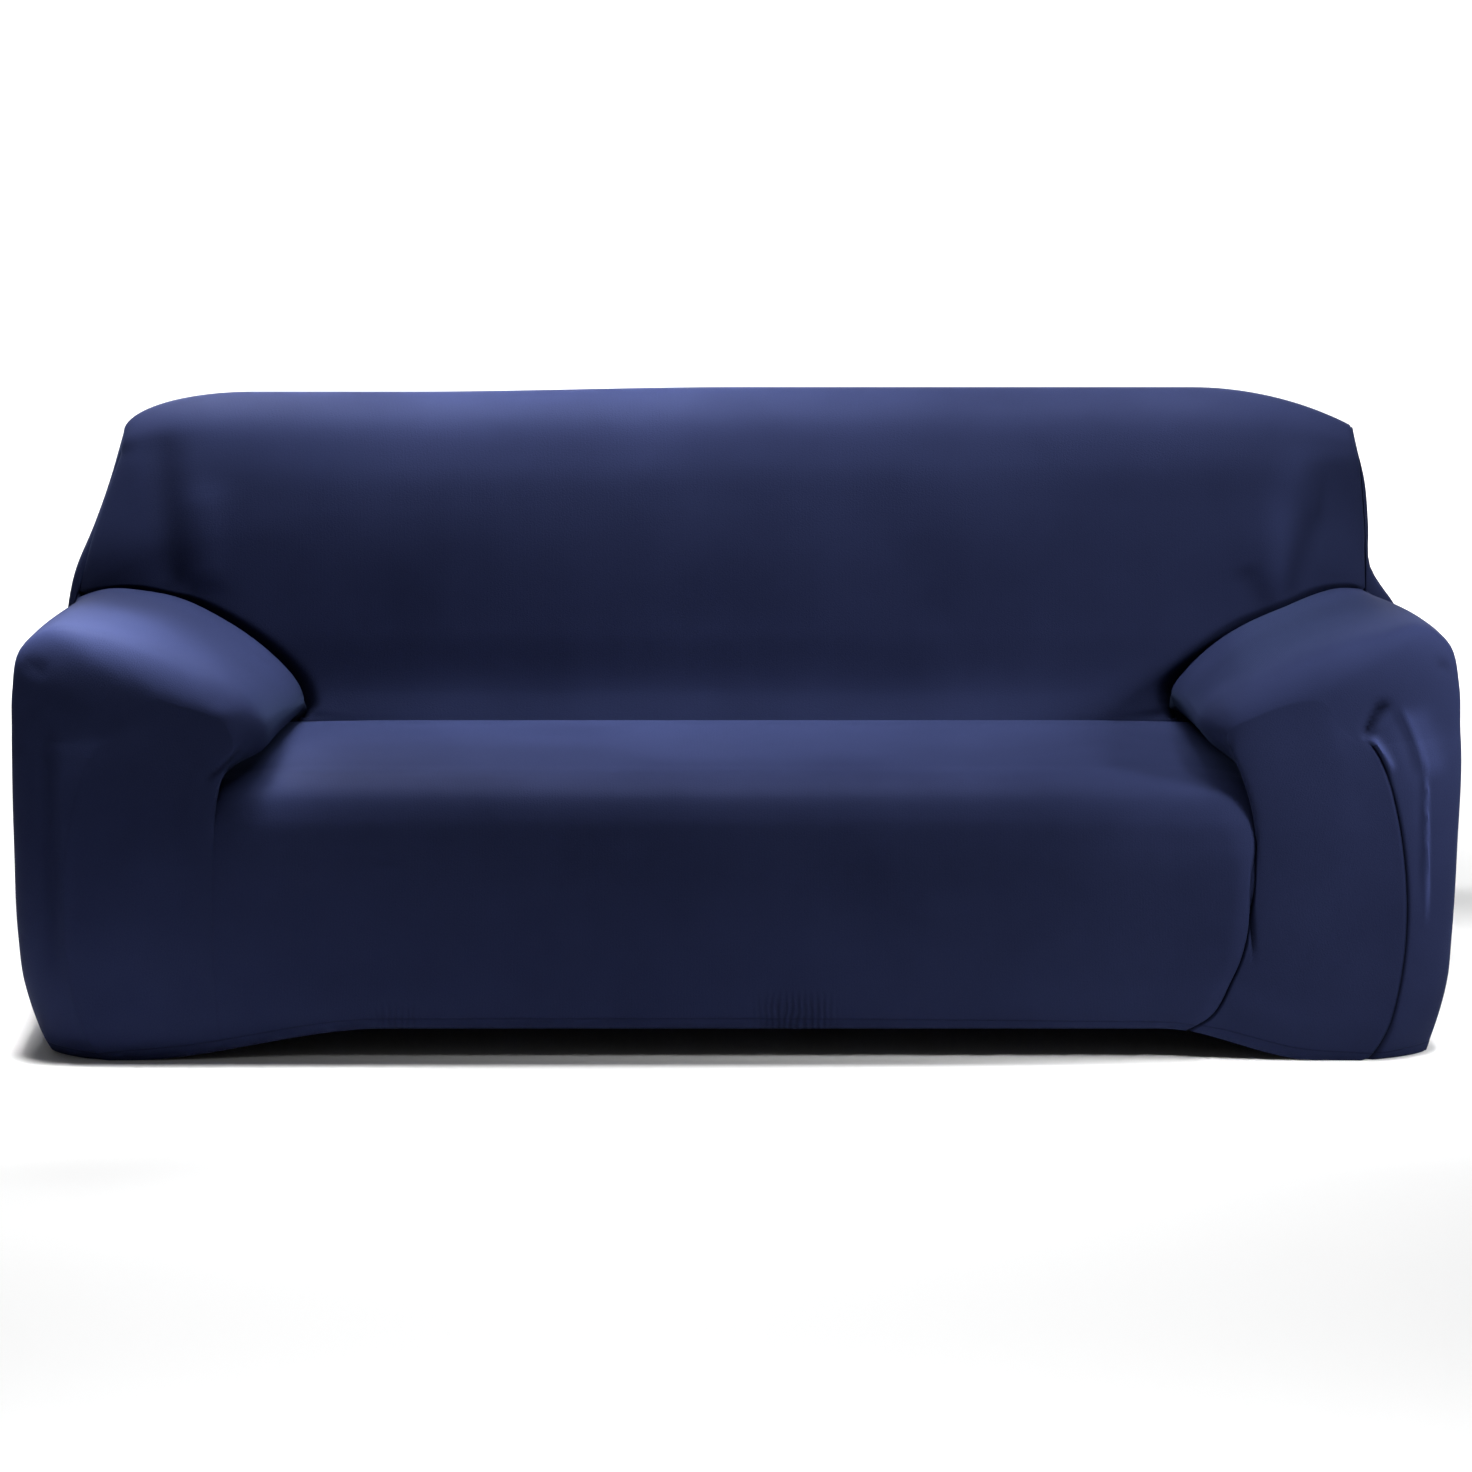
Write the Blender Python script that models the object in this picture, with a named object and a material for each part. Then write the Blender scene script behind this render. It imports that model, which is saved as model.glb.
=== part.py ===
"""A stretch slipcover, hollow and open at the floor, in the shape it takes over a three-seat sofa.

Five panels of one knitted cloth are sewn edge to edge: a long body panel that runs from the front
hem over the seat, up the inside back, over the top and down the outside back; an arm panel each
side, which covers the rolled arm and its front; and a side panel each side, which closes the
outside of the arm and the end of the back.  Each panel is a grid of points bounded by its seams.
Metres, +Z up, front towards -Y, origin on the floor under the middle of the cover.
"""

import math

import bpy
import numpy as np

# Driving sizes.
HALF_WIDTH = 1.030
CLOTH = 0.003
SEAM_GAP = 0.0003  # what each panel gives up along a seam
HEM_HEIGHT = 0.047  # of the front hem between the arms
HEM_SETTLE = 0.07  # how far above the hem its unevenness has died out
REAR_HEM_HEIGHT = 0.016
LEFT_HEM_DROP = (0.50, 0.87)  # x where the front hem leaves its height and where it is on the floor
RIGHT_HEM_DROP = (0.60, 0.83)

# Steps of the panel grids, counted in quads.
FACE_STEPS = 11
ROUND_STEPS = 4
ROLL_STEPS = 7
ARCH_STEPS = 16
END_STEPS = 11

# Rows of the body panel: where its seams meet the crease, the top of the arms and the nape.
CREASE_ROW = FACE_STEPS + ROUND_STEPS + ROLL_STEPS
PEAK_ROW = CREASE_ROW + ARCH_STEPS
NAPE_ROW = PEAK_ROW + END_STEPS
# Its columns, as shares of the way from a side seam to the middle.
COLUMN_SHARES = (0, 0.012, 0.03, 0.06, 0.09, 0.12, 0.15, 0.18, 0.23, 0.32, 0.46, 0.63, 0.82)

# The body panel: a row for each section across it, from the front hem to the rear hem.  y and z
# place its middle.  facing is the way the cloth looks, in degrees: 0 to the front, 90 up, 180 to
# the rear.  Towards a seam the section drops against its facing by drop over the last fall metres.
BODY_COLUMNS = "y z facing right_x right_drop right_fall left_x left_drop left_fall"
BODY = {
    "front_hem": (-0.424, HEM_HEIGHT, 0, 0.645, 0.004, 0.03, 0.728, 0.000, 0.10),
    "hem_tuck": (-0.436, 0.072, 0, 0.676, 0.008, 0.03, 0.736, 0.000, 0.10),
    "apron_low": (-0.442, 0.125, 0, 0.709, 0.011, 0.03, 0.740, 0.000, 0.10),
    "apron_middle": (-0.446, 0.215, 0, 0.731, 0.012, 0.03, 0.741, 0.001, 0.10),
    "apron_high": (-0.444, 0.315, 0, 0.735, 0.012, 0.04, 0.738, 0.003, 0.10),
    "brow": (-0.437, 0.352, 0, 0.733, 0.013, 0.05, 0.736, 0.006, 0.10),
    "corner": (-0.420, 0.383, 40, 0.732, 0.013, 0.06, 0.734, 0.009, 0.10),
    "lip": (-0.383, 0.402, 70, 0.732, 0.014, 0.08, 0.734, 0.012, 0.12),
    "seat_front": (-0.320, 0.410, 90, 0.732, 0.016, 0.12, 0.733, 0.015, 0.15),
    "seat_middle": (-0.130, 0.415, 90, 0.718, 0.020, 0.18, 0.720, 0.020, 0.18),
    "seat_rear": (0.060, 0.408, 90, 0.704, 0.013, 0.18, 0.704, 0.013, 0.18),
    "crease": (0.116, 0.398, 90, 0.700, 0.002, 0.18, 0.700, 0.002, 0.18),
    "back_low": (0.134, 0.440, 0, 0.967, 0.100, 0.22, 1.006, 0.100, 0.22),
    "back_middle": (0.148, 0.530, 0, 0.967, 0.100, 0.22, 1.006, 0.100, 0.22),
    "arm_top": (0.173, 0.680, 0, 0.967, 0.100, 0.22, 1.006, 0.100, 0.22),
    "back_high": (0.182, 0.715, 1, 0.968, 0.100, 0.23, 0.992, 0.095, 0.22),
    "forehead": (0.206, 0.785, 8, 0.958, 0.085, 0.24, 0.950, 0.080, 0.22),
    "crown_front": (0.246, 0.848, 45, 0.951, 0.075, 0.25, 0.944, 0.070, 0.20),
    "crown": (0.318, 0.882, 90, 0.950, 0.068, 0.25, 0.943, 0.064, 0.20),
    "crown_rear": (0.398, 0.852, 140, 0.952, 0.055, 0.22, 0.944, 0.056, 0.20),
    "nape": (0.430, 0.790, 172, 0.956, 0.035, 0.12, 0.952, 0.035, 0.12),
    "rear_high": (0.440, 0.620, 180, 0.982, 0.030, 0.08, 0.985, 0.030, 0.08),
    "rear_middle": (0.445, 0.350, 180, 0.996, 0.030, 0.08, 0.996, 0.030, 0.08),
    "rear_low": (0.443, 0.110, 180, 0.990, 0.030, 0.08, 0.990, 0.030, 0.08),
    "rear_tuck": (0.436, 0.050, 180, 0.978, 0.030, 0.08, 0.974, 0.030, 0.08),
    "rear_hem": (0.424, REAR_HEM_HEIGHT, 180, 0.958, 0.030, 0.08, 0.950, 0.030, 0.08),
}
LEFT_ROUNDNESS, RIGHT_ROUNDNESS = 1.0, 0.25  # 1 turns like a circle, 0 like a parabola
FAN_POWER = 0.6  # under 1, the rows beside the arms stand further apart low down
FAN_REACH = 7  # how near the seam those rows bend to meet it
FAN_SETTLE = 0.12  # how far above the arms the rows are level again

# Soft folds down the inside back, as x, width, depth, high and fade.  depth is how far in a fold
# runs, less than 0 for a ridge, and it fades out over the last fade metres below high.
BACK_FOLDS = {
    "right_pull": (0.822, 0.045, -0.009, 0.800, 0.220),
    "right_hollow": (0.822, 0.095, 0.005, 0.790, 0.200),
    "left_trough": (-0.862, 0.048, 0.007, 0.760, 0.170),
    "left_swell": (-0.780, 0.060, -0.003, 0.760, 0.200),
}

# The back's top is a little lower on the left.
LEFT_FALL = 0.007
LEFT_FALL_RUN = 0.5  # across
LEFT_FALL_FROM, LEFT_FALL_OVER = 0.6, 0.25  # upwards

# The rolled arms: a row for each line that runs along one, from the crease beside the seat, under
# and round the nose of the roll, over the top and down to the side seam.  The face columns place
# it where the flat front begins to turn, the front columns where the turn ends, and the rear ones
# where the roll meets the inside back.  x counts outwards from the middle of the cover.
ARM_COLUMNS = "face_x face_z front_x front_z rear_x rear_z"
LEFT_ARM = {
    "crease": (0.738, 0.376, 0.738, 0.390, 0.668, 0.395),
    "under": (0.730, 0.406, 0.706, 0.410, 0.654, 0.403),
    "nose_low": (0.716, 0.432, 0.678, 0.430, 0.646, 0.412),
    "nose": (0.708, 0.460, 0.668, 0.464, 0.646, 0.426),
    "nose_high": (0.720, 0.494, 0.684, 0.506, 0.662, 0.456),
    "shoulder": (0.745, 0.506, 0.726, 0.541, 0.706, 0.502),
    "rise": (0.772, 0.514, 0.784, 0.570, 0.766, 0.546),
    "top": (0.794, 0.521, 0.848, 0.597, 0.838, 0.580),
    "crest": (0.814, 0.524, 0.912, 0.613, 0.914, 0.592),
    "outer": (0.832, 0.512, 0.978, 0.614, 0.954, 0.590),
    "turn": (0.848, 0.490, 1.016, 0.584, 0.978, 0.584),
    "side": (0.868, 0.468, 1.028, 0.526, 0.996, 0.579),
    "seam": (0.896, 0.458, 1.030, 0.466, 1.006, 0.575),
}
RIGHT_ARM = {
    "crease": (0.736, 0.376, 0.736, 0.388, 0.672, 0.395),
    "under": (0.724, 0.406, 0.708, 0.414, 0.658, 0.407),
    "nose_low": (0.708, 0.438, 0.680, 0.440, 0.652, 0.424),
    "nose": (0.692, 0.476, 0.658, 0.478, 0.658, 0.450),
    "nose_high": (0.706, 0.490, 0.670, 0.507, 0.686, 0.480),
    "shoulder": (0.728, 0.500, 0.704, 0.532, 0.726, 0.515),
    "rise": (0.758, 0.513, 0.762, 0.562, 0.780, 0.547),
    "top": (0.788, 0.522, 0.832, 0.591, 0.836, 0.569),
    "crest": (0.812, 0.524, 0.905, 0.611, 0.884, 0.584),
    "outer": (0.830, 0.512, 0.975, 0.620, 0.918, 0.588),
    "turn": (0.846, 0.491, 1.012, 0.592, 0.944, 0.586),
    "side": (0.866, 0.470, 1.027, 0.534, 0.958, 0.582),
    "seam": (0.893, 0.458, 1.030, 0.470, 0.967, 0.577),
}
FACE_Y = -0.440
FACE_SWELL = 0.006
FACE_FLARE = 6  # how much later the inner lines of the front widen to the roll than the outer
HEM_TUCK, HEM_TUCK_HEIGHT = 0.016, 0.06  # how far and from what height the hem is drawn in
ROLL_Y = -0.368  # where the front turn ends
ROLL_TAPER = 0.8  # how much later the outer lines of the roll narrow than the inner
SEAM_HOLD = 0.3  # share of the arm's width that follows its seam beside the seat
ARM_HEM_OUT = 0.895
SIDE_SEAM_BOW = 0.057  # how far the seam down the arm's front bows outwards
BOW_LOWNESS, BOW_FULLNESS = 0.9, 0.6

# The side panel: how far its outline stands in from HALF_WIDTH, by height.
SIDE_COLUMNS = "z left_in right_in"
SIDE = {
    "hem": (0.000, 0.053, 0.042),
    "hem_turn": (0.022, 0.039, 0.034),
    "tuck": (0.055, 0.025, 0.023),
    "low": (0.105, 0.010, 0.011),
    "calf": (0.170, 0.003, 0.006),
    "middle": (0.300, 0.000, 0.001),
    "full": (0.460, 0.000, 0.000),
    "shelf": (0.545, 0.002, 0.012),
    "flare": (0.605, 0.013, 0.052),
    "end_low": (0.670, 0.039, 0.056),
    "end_high": (0.740, 0.064, 0.062),
    "end_top": (0.810, 0.085, 0.078),
}
REAR_TURN = 0.2  # share of the side's length over which it closes on the rear seam
TOP_PULL = 8  # how near the top seam the side bends to meet it
RUNS_ON = 0.3  # panels whose normals agree by more than this share a mitred seam
SHARP_ANGLE = 50  # degrees, at the rims

NAVY = (0.012, 0.018, 0.062, 1.0)


def columns(table, names):
    """The table's columns as named arrays, one value for each row."""
    values = np.array(list(table.values()))
    return {name: values[:, i] for i, name in enumerate(names.split())}


def spline(knots, values, at, corner=None):
    """A cubic curve through the rows of values.  At the corner row it may turn sharply."""
    step = np.diff(knots)[:, None]
    slope = np.diff(values, axis=0) / step
    inner = (step[1:] * slope[:-1] + step[:-1] * slope[1:]) / (step[1:] + step[:-1])
    leaving = np.vstack([slope[:1], inner, slope[-1:]])
    arriving = leaving.copy()
    if corner is not None:
        arriving[corner], leaving[corner] = slope[corner - 1], slope[corner]
    i = np.clip(np.searchsorted(knots, at, side="right") - 1, 0, len(knots) - 2)
    h = step[i]
    t = ((at - knots[i]) / h[:, 0])[:, None]
    return (
        (2 * t**3 - 3 * t**2 + 1) * values[i]
        + (t**3 - 2 * t**2 + t) * h * leaving[i]
        + (3 * t**2 - 2 * t**3) * values[i + 1]
        + (t**3 - t**2) * h * arriving[i + 1]
    )


def smooth_step(t):
    t = np.clip(t, 0, 1)
    return t * t * (3 - 2 * t)


def turned_edge(t, roundness):
    """How far an edge has turned down, 0 where it starts to and 1 at the seam."""
    t = np.clip(t, 0, 1)
    return roundness * (1 - np.sqrt(1 - t * t)) + (1 - roundness) * t * t


def hem_lift(x):
    """Height of the front hem above the floor: flat between the arms, down to the floor on them."""
    inner = np.where(x < 0, LEFT_HEM_DROP[0], RIGHT_HEM_DROP[0])
    outer = np.where(x < 0, LEFT_HEM_DROP[1], RIGHT_HEM_DROP[1])
    return HEM_HEIGHT * (1 - smooth_step((np.abs(x) - inner) / (outer - inner)))


body = columns(BODY, BODY_COLUMNS)
body_rows = list(BODY)
CREASE = body_rows.index("crease")
chord = np.hypot(np.diff(body["y"]), np.diff(body["z"]))
body_knots = np.concatenate([[0], np.cumsum(chord)])
body_values = np.stack([body[name] for name in BODY_COLUMNS.split()], axis=1)


def knot_of(row):
    return body_knots[body_rows.index(row)]


def body_section(at):
    """The body table's columns, smoothly interpolated at distances along the panel."""
    found = spline(body_knots, body_values, at, CREASE)
    return dict(zip(BODY_COLUMNS.split(), found.T))


def back_fold(x, z):
    """How far the soft folds set the inside back in (+) or forward (-) at x and z."""
    depth = 0 * x
    for middle, width, deep, high, fade in BACK_FOLDS.values():
        across = np.exp(-(((x - middle) / width) ** 2))
        depth = depth + deep * across * smooth_step((high - z) / fade)
    return depth


def back_y(x, z):
    """The inside back as a depth over x and z."""
    rows = slice(CREASE, body_rows.index("crown_front"))
    heights = body["z"][rows]
    section = body_section(np.interp(z, heights, body_knots[rows]))
    right = x > 0
    end = np.where(right, section["right_x"], section["left_x"])
    fall = np.where(right, section["right_fall"], section["left_fall"])
    drop = np.where(right, section["right_drop"], section["left_drop"])
    roundness = np.where(right, RIGHT_ROUNDNESS, LEFT_ROUNDNESS)
    turned = drop * turned_edge((np.abs(x) - end + fall) / fall, roundness)
    return section["y"] + turned + back_fold(x, z)


def between(first, last, steps, power=1):
    """Distances along the body panel from one named row to another.  A power under 1 puts the
    wider steps first."""
    share = np.linspace(0, 1, steps + 1) ** power
    return knot_of(first) + (knot_of(last) - knot_of(first)) * share


def arch(prefix, side, at):
    """The arm's outline at its face, front or rear as points (x, z) at shares of the way round."""
    arm = columns(RIGHT_ARM if side > 0 else LEFT_ARM, ARM_COLUMNS)
    outline = np.stack([arm[prefix + "_x"], arm[prefix + "_z"]], axis=1)
    front = np.stack([arm["front_x"], arm["front_z"]], axis=1)
    way = np.concatenate([[0], np.cumsum(np.linalg.norm(np.diff(front, axis=0), axis=1))])
    return spline(way / way[-1], outline, at) * [side, 1]


def body_panel():
    """The body panel's grid: rows from the front hem to the rear hem, columns from left to right."""
    apron = between("front_hem", "corner", FACE_STEPS)
    seat = between("corner", "crease", ROUND_STEPS + ROLL_STEPS)
    beside_arm = between("crease", "arm_top", ARCH_STEPS, FAN_POWER)
    end = between("arm_top", "nape", END_STEPS)
    rear = between("nape", "rear_hem", FACE_STEPS)
    at = np.concatenate([apron, seat[1:], beside_arm[1:], end[1:], rear[1:]])
    row = np.arange(len(at))[:, None]
    section = {name: value[:, None] for name, value in body_section(at).items()}
    shares = np.array(COLUMN_SHARES)
    across = np.concatenate([shares - 1, [0], 1 - shares[::-1]])[None, :]
    right = across > 0

    # Beside the arms the seams follow the rolls, and the rows fan out to reach them.
    fan = slice(CREASE_ROW, PEAK_ROW + 1)
    way = np.linspace(0, 1, ARCH_STEPS + 1)
    left_seam, right_seam = arch("rear", -1, way), arch("rear", 1, way)
    left_x, right_x = section["left_x"].copy(), section["right_x"].copy()
    left_x[fan, 0], right_x[fan, 0] = -left_seam[:, 0], right_seam[:, 0]
    seam_x = np.where(right, right_x, left_x)
    x = seam_x * across
    seam_z = np.where(right, right_seam[:, 1:], left_seam[:, 1:])
    reach = np.abs(across) ** FAN_REACH
    settled = smooth_step((at[:, None] - knot_of("arm_top")) / FAN_SETTLE)
    height = section["z"] + (seam_z[-1] - BODY["arm_top"][1]) * reach * (1 - settled) * (row > PEAK_ROW)
    height[fan] += (seam_z - height[fan]) * reach
    low_side = smooth_step(-x / LEFT_FALL_RUN)
    height = height - LEFT_FALL * low_side * smooth_step((height - LEFT_FALL_FROM) / LEFT_FALL_OVER)

    # The section turns down against its facing towards each seam.
    drop = np.where(right, section["right_drop"], section["left_drop"])
    fall = np.where(right, section["right_fall"], section["left_fall"])
    roundness = np.where(right | (row < CREASE_ROW), RIGHT_ROUNDNESS, LEFT_ROUNDNESS)
    turned = drop * turned_edge((np.abs(x) - seam_x + fall) / fall, roundness)
    facing = np.radians(section["facing"])
    y = section["y"] + turned * np.cos(facing)
    z = height - turned * np.sin(facing)
    inside_back = (row > CREASE_ROW) & (section["facing"] < 90)
    y = y + back_fold(x, z) * inside_back
    # Just above the arms the rows still dip to the rolls, and lie on the inside back there.
    on_back = back_y(x.ravel(), height.ravel()).reshape(x.shape)
    y = np.where((row > PEAK_ROW) & (settled < 1), y * settled + on_back * (1 - settled), y)
    y[fan] = back_y(x[fan].ravel(), height[fan].ravel()).reshape(x[fan].shape)
    z[fan] = height[fan]
    near_hem = (row <= FACE_STEPS) * (1 - smooth_step((z - HEM_HEIGHT) / HEM_SETTLE))
    z = z + (hem_lift(x) - HEM_HEIGHT) * near_hem
    return np.stack([x, y, z], axis=2)


def arm_panel(side, seam):
    """An arm panel's grid: rows from the hem up the front and back along the roll, columns from
    the seam beside the seat, whose points are given, to the side seam."""
    share = np.linspace(0, 1, ARCH_STEPS + 1)
    face, front, rear = (arch(name, side, share) for name in ("face", "front", "rear"))
    hem_x = seam[0, 0] + (side * ARM_HEM_OUT - seam[0, 0]) * share
    hem = np.stack([hem_x, hem_lift(hem_x)], axis=1)

    up = np.linspace(0, 1, FACE_STEPS + 1)[:, None]
    bow = side * SIDE_SEAM_BOW * share**3 * np.sin(math.pi * up**BOW_LOWNESS) ** BOW_FULLNESS
    widened = up ** (1 + FACE_FLARE * (1 - share))
    flat_x = hem[:, 0] + (face[:, 0] - hem[:, 0]) * widened + bow
    flat_z = hem[:, 1] + (face[:, 1] - hem[:, 1]) * up
    swell = FACE_SWELL * np.sin(math.pi * up) * np.sin(math.pi * share)
    tucked = HEM_TUCK * (1 - smooth_step((flat_z - hem[:, 1]) / HEM_TUCK_HEIGHT))
    flat_y = FACE_Y - swell + tucked

    turn = np.radians(np.linspace(0, 90, ROUND_STEPS + 1))[1:, None]
    turn_x = face[:, 0] + (front[:, 0] - face[:, 0]) * np.sin(turn)
    turn_z = face[:, 1] + (front[:, 1] - face[:, 1]) * np.sin(turn)
    turn_y = FACE_Y + (ROLL_Y - FACE_Y) * (1 - np.cos(turn)) + 0 * share

    along = np.linspace(0, 1, ROLL_STEPS + 1)[1:, None]
    narrowed = along ** (1 + ROLL_TAPER * share)
    roll_x = front[:, 0] + (rear[:, 0] - front[:, 0]) * narrowed
    roll_z = front[:, 1] + (rear[:, 1] - front[:, 1]) * narrowed
    roll_y = ROLL_Y + (back_y(rear[:, 0], rear[:, 1]) - ROLL_Y) * along

    x = np.concatenate([flat_x, turn_x, roll_x])
    y = np.concatenate([flat_y, turn_y, roll_y])
    z = np.concatenate([flat_z, turn_z, roll_z])
    grid = np.stack([x, y, z], axis=2)
    near = (1 - np.clip(share / SEAM_HOLD, 0, 1)) ** 2
    on_face = np.clip(2 - 2 * np.arange(len(grid)) / FACE_STEPS, 0, 1)[:, None]
    hold = near + (1 - share - near) * on_face
    return grid + (seam - grid[:, 0])[:, None] * hold[:, :, None]


def side_panel(side, front_seam, top_seam, rear_seam):
    """A side panel's grid: rows from the hem to the top seam, columns from front to rear."""
    table = columns(SIDE, SIDE_COLUMNS)
    inset = table["right_in" if side > 0 else "left_in"]
    full = top_seam.copy()
    full[top_seam[:, 1] > ROLL_Y, 0] = side * HALF_WIDTH
    full[:, 1] = np.sort(full[:, 1])  # the top seam turns back a little where it leaves the arm
    run = np.gradient(full[:, :2], axis=0)
    normal = np.stack([side * run[:, 1], -side * run[:, 0]], axis=1)
    normal /= np.linalg.norm(normal, axis=1)[:, None]
    along = np.linspace(0, 1, len(top_seam))
    hem_z = REAR_HEM_HEIGHT * smooth_step(along)
    up = np.linspace(0, 1, FACE_STEPS + 1)[:, None]
    z = hem_z + (top_seam[:, 2] - hem_z) * up
    stand_in = spline(table["z"], inset[:, None], z.ravel())[:, 0].reshape(z.shape)
    x = full[:, 0] - normal[:, 0] * stand_in
    y = full[:, 1] - normal[:, 1] * stand_in
    grid = np.stack([x, y, z], axis=2)
    to_front = 1 - (full[:, 0] - full[0, 0]) / (side * HALF_WIDTH - full[0, 0])
    grid = grid + (front_seam - grid[:, 0])[:, None] * to_front[None, :, None]
    to_rear = np.clip((along - 1 + REAR_TURN) / REAR_TURN, 0, 1) ** 2
    grid = grid + (rear_seam - grid[:, -1])[:, None] * to_rear[None, :, None]
    return grid + (top_seam - grid[-1])[None] * (up**TOP_PULL)[:, :, None]


def grid_normals(grid):
    """Unit normals of a grid of points, from its own differences."""
    rows, cols = np.gradient(grid, axis=0), np.gradient(grid, axis=1)
    normal = np.cross(cols, rows)
    return normal / np.linalg.norm(normal, axis=2, keepdims=True)


def mitred(first, second):
    """Both panels' normals along their seam: the same mitre where one panel runs on from the
    other, and unchanged where they meet in a crease."""
    agree = np.sum(first * second, axis=1, keepdims=True)
    mitre = (first + second) / (1 + np.maximum(agree, 0))
    return np.where(agree > RUNS_ON, mitre, first), np.where(agree > RUNS_ON, mitre, second)


def draw_in(grid):
    """The grid with its border moved into the panel by the gap that a seam keeps."""
    moved = grid.copy()
    for edge, inner in ((0, 1), (-1, -2)):
        moved[edge] += SEAM_GAP * square_on(grid[edge], grid[inner])
        moved[:, edge] += SEAM_GAP * square_on(grid[:, edge], grid[:, inner])
    return moved


def square_on(edge, inner):
    """Unit steps from an edge towards the next line of points, square on the edge."""
    run = np.gradient(edge, axis=0)
    run /= np.linalg.norm(run, axis=1, keepdims=True)
    step = inner - edge
    step -= np.sum(step * run, axis=1, keepdims=True) * run
    return step / np.linalg.norm(step, axis=1, keepdims=True)


def cloth_solid(name, grid, normals, material):
    """One closed solid: the grid outside, the same grid a cloth's thickness inside, and a rim."""
    rows, cols = grid.shape[:2]
    grid = draw_in(grid)
    points = np.concatenate([grid.reshape(-1, 3), (grid - CLOTH * normals).reshape(-1, 3)])
    index = np.arange(rows * cols).reshape(rows, cols)
    corners = [index[:-1, :-1], index[:-1, 1:], index[1:, 1:], index[1:, :-1]]
    outside = np.stack(corners, axis=2).reshape(-1, 4)
    inside = outside[:, ::-1] + rows * cols
    loop = [index[0, ::-1], index[1:, 0], index[-1, 1:], index[-2:0:-1, -1]]
    loop = np.concatenate(loop)
    after = np.roll(loop, -1)
    rim = np.stack([loop, after, after + rows * cols, loop + rows * cols], axis=1)
    mesh = bpy.data.meshes.new(name)
    mesh.from_pydata(points.tolist(), [], np.concatenate([outside, inside, rim]).tolist())
    mesh.shade_smooth()
    mesh.set_sharp_from_angle(angle=math.radians(SHARP_ANGLE))
    mesh.materials.append(material)
    bpy.context.scene.collection.objects.link(bpy.data.objects.new(name, mesh))


def knitted_cloth():
    material = bpy.data.materials.new("navy_stretch_knit")
    material.use_nodes = True
    shader = material.node_tree.nodes["Principled BSDF"]
    shader.inputs["Base Color"].default_value = NAVY
    shader.inputs["Roughness"].default_value = 0.85
    shader.inputs["Metallic"].default_value = 0.0
    return material


def build():
    for old in list(bpy.data.objects):
        bpy.data.objects.remove(old)
    material = knitted_cloth()
    body_grid = body_panel()
    body_facing = grid_normals(body_grid)
    roll_end = ROUND_STEPS + ROLL_STEPS
    for side, column, name in ((-1, 0, "left"), (1, -1, "right")):
        edge, edge_facing = body_grid[:, column], body_facing[:, column]
        arm = arm_panel(side, edge[: CREASE_ROW + 1])
        arm[-1] = edge[CREASE_ROW : PEAK_ROW + 1]
        top_seam = np.concatenate([arm[FACE_STEPS:, -1], edge[PEAK_ROW + 1 : NAPE_ROW + 1]])
        panel = side_panel(side, arm[: FACE_STEPS + 1, -1], top_seam, edge[NAPE_ROW:][::-1])
        arm_facing, panel_facing = side * grid_normals(arm), side * grid_normals(panel)
        seams = [
            (edge_facing[: CREASE_ROW + 1], arm_facing[:, 0]),
            (arm_facing[: FACE_STEPS + 1, -1], panel_facing[:, 0]),
            (edge_facing[PEAK_ROW : NAPE_ROW + 1], panel_facing[-1, roll_end:]),
            (arm_facing[FACE_STEPS:, -1], panel_facing[-1, : roll_end + 1]),
            (edge_facing[NAPE_ROW:], panel_facing[::-1, -1]),
        ]
        mitres = [mitred(first, second) for first, second in seams]
        for (first, second), (new_first, new_second) in zip(seams, mitres):
            first[:], second[:] = new_first, new_second
        outward = slice(None, None, side)
        cloth_solid(f"arm_panel_{name}", arm[:, outward], arm_facing[:, outward], material)
        cloth_solid(f"side_panel_{name}", panel[:, outward], panel_facing[:, outward], material)
    cloth_solid("body_panel", body_grid, body_facing, material)


build()
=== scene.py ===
"""A navy stretch slipcover in the shape it takes over a three-seat sofa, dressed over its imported
solids: five panels of knit with their seams, creases and gathers, on a pale studio floor.

Metres, +Z up, front towards -Y, origin on the floor under the middle of the cover.
"""

import math

import bpy
import numpy as np
from bpy.props import FloatProperty, FloatVectorProperty, PointerProperty
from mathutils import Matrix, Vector


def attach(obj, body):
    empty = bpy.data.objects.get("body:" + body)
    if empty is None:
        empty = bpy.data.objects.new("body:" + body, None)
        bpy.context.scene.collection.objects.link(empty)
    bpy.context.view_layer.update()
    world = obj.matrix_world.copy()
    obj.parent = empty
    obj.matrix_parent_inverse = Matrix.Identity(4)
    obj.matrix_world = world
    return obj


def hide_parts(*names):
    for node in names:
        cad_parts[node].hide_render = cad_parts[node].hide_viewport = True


bl_info = {
    "name": "Sofa Slipcover",
    "version": (1, 0, 0),
    "blender": (4, 5, 0),
    "location": "3D View > Sidebar > Slipcover",
    "description": "Builds a stretch sofa slipcover panel by panel",
    "category": "Add Mesh",
}

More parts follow.
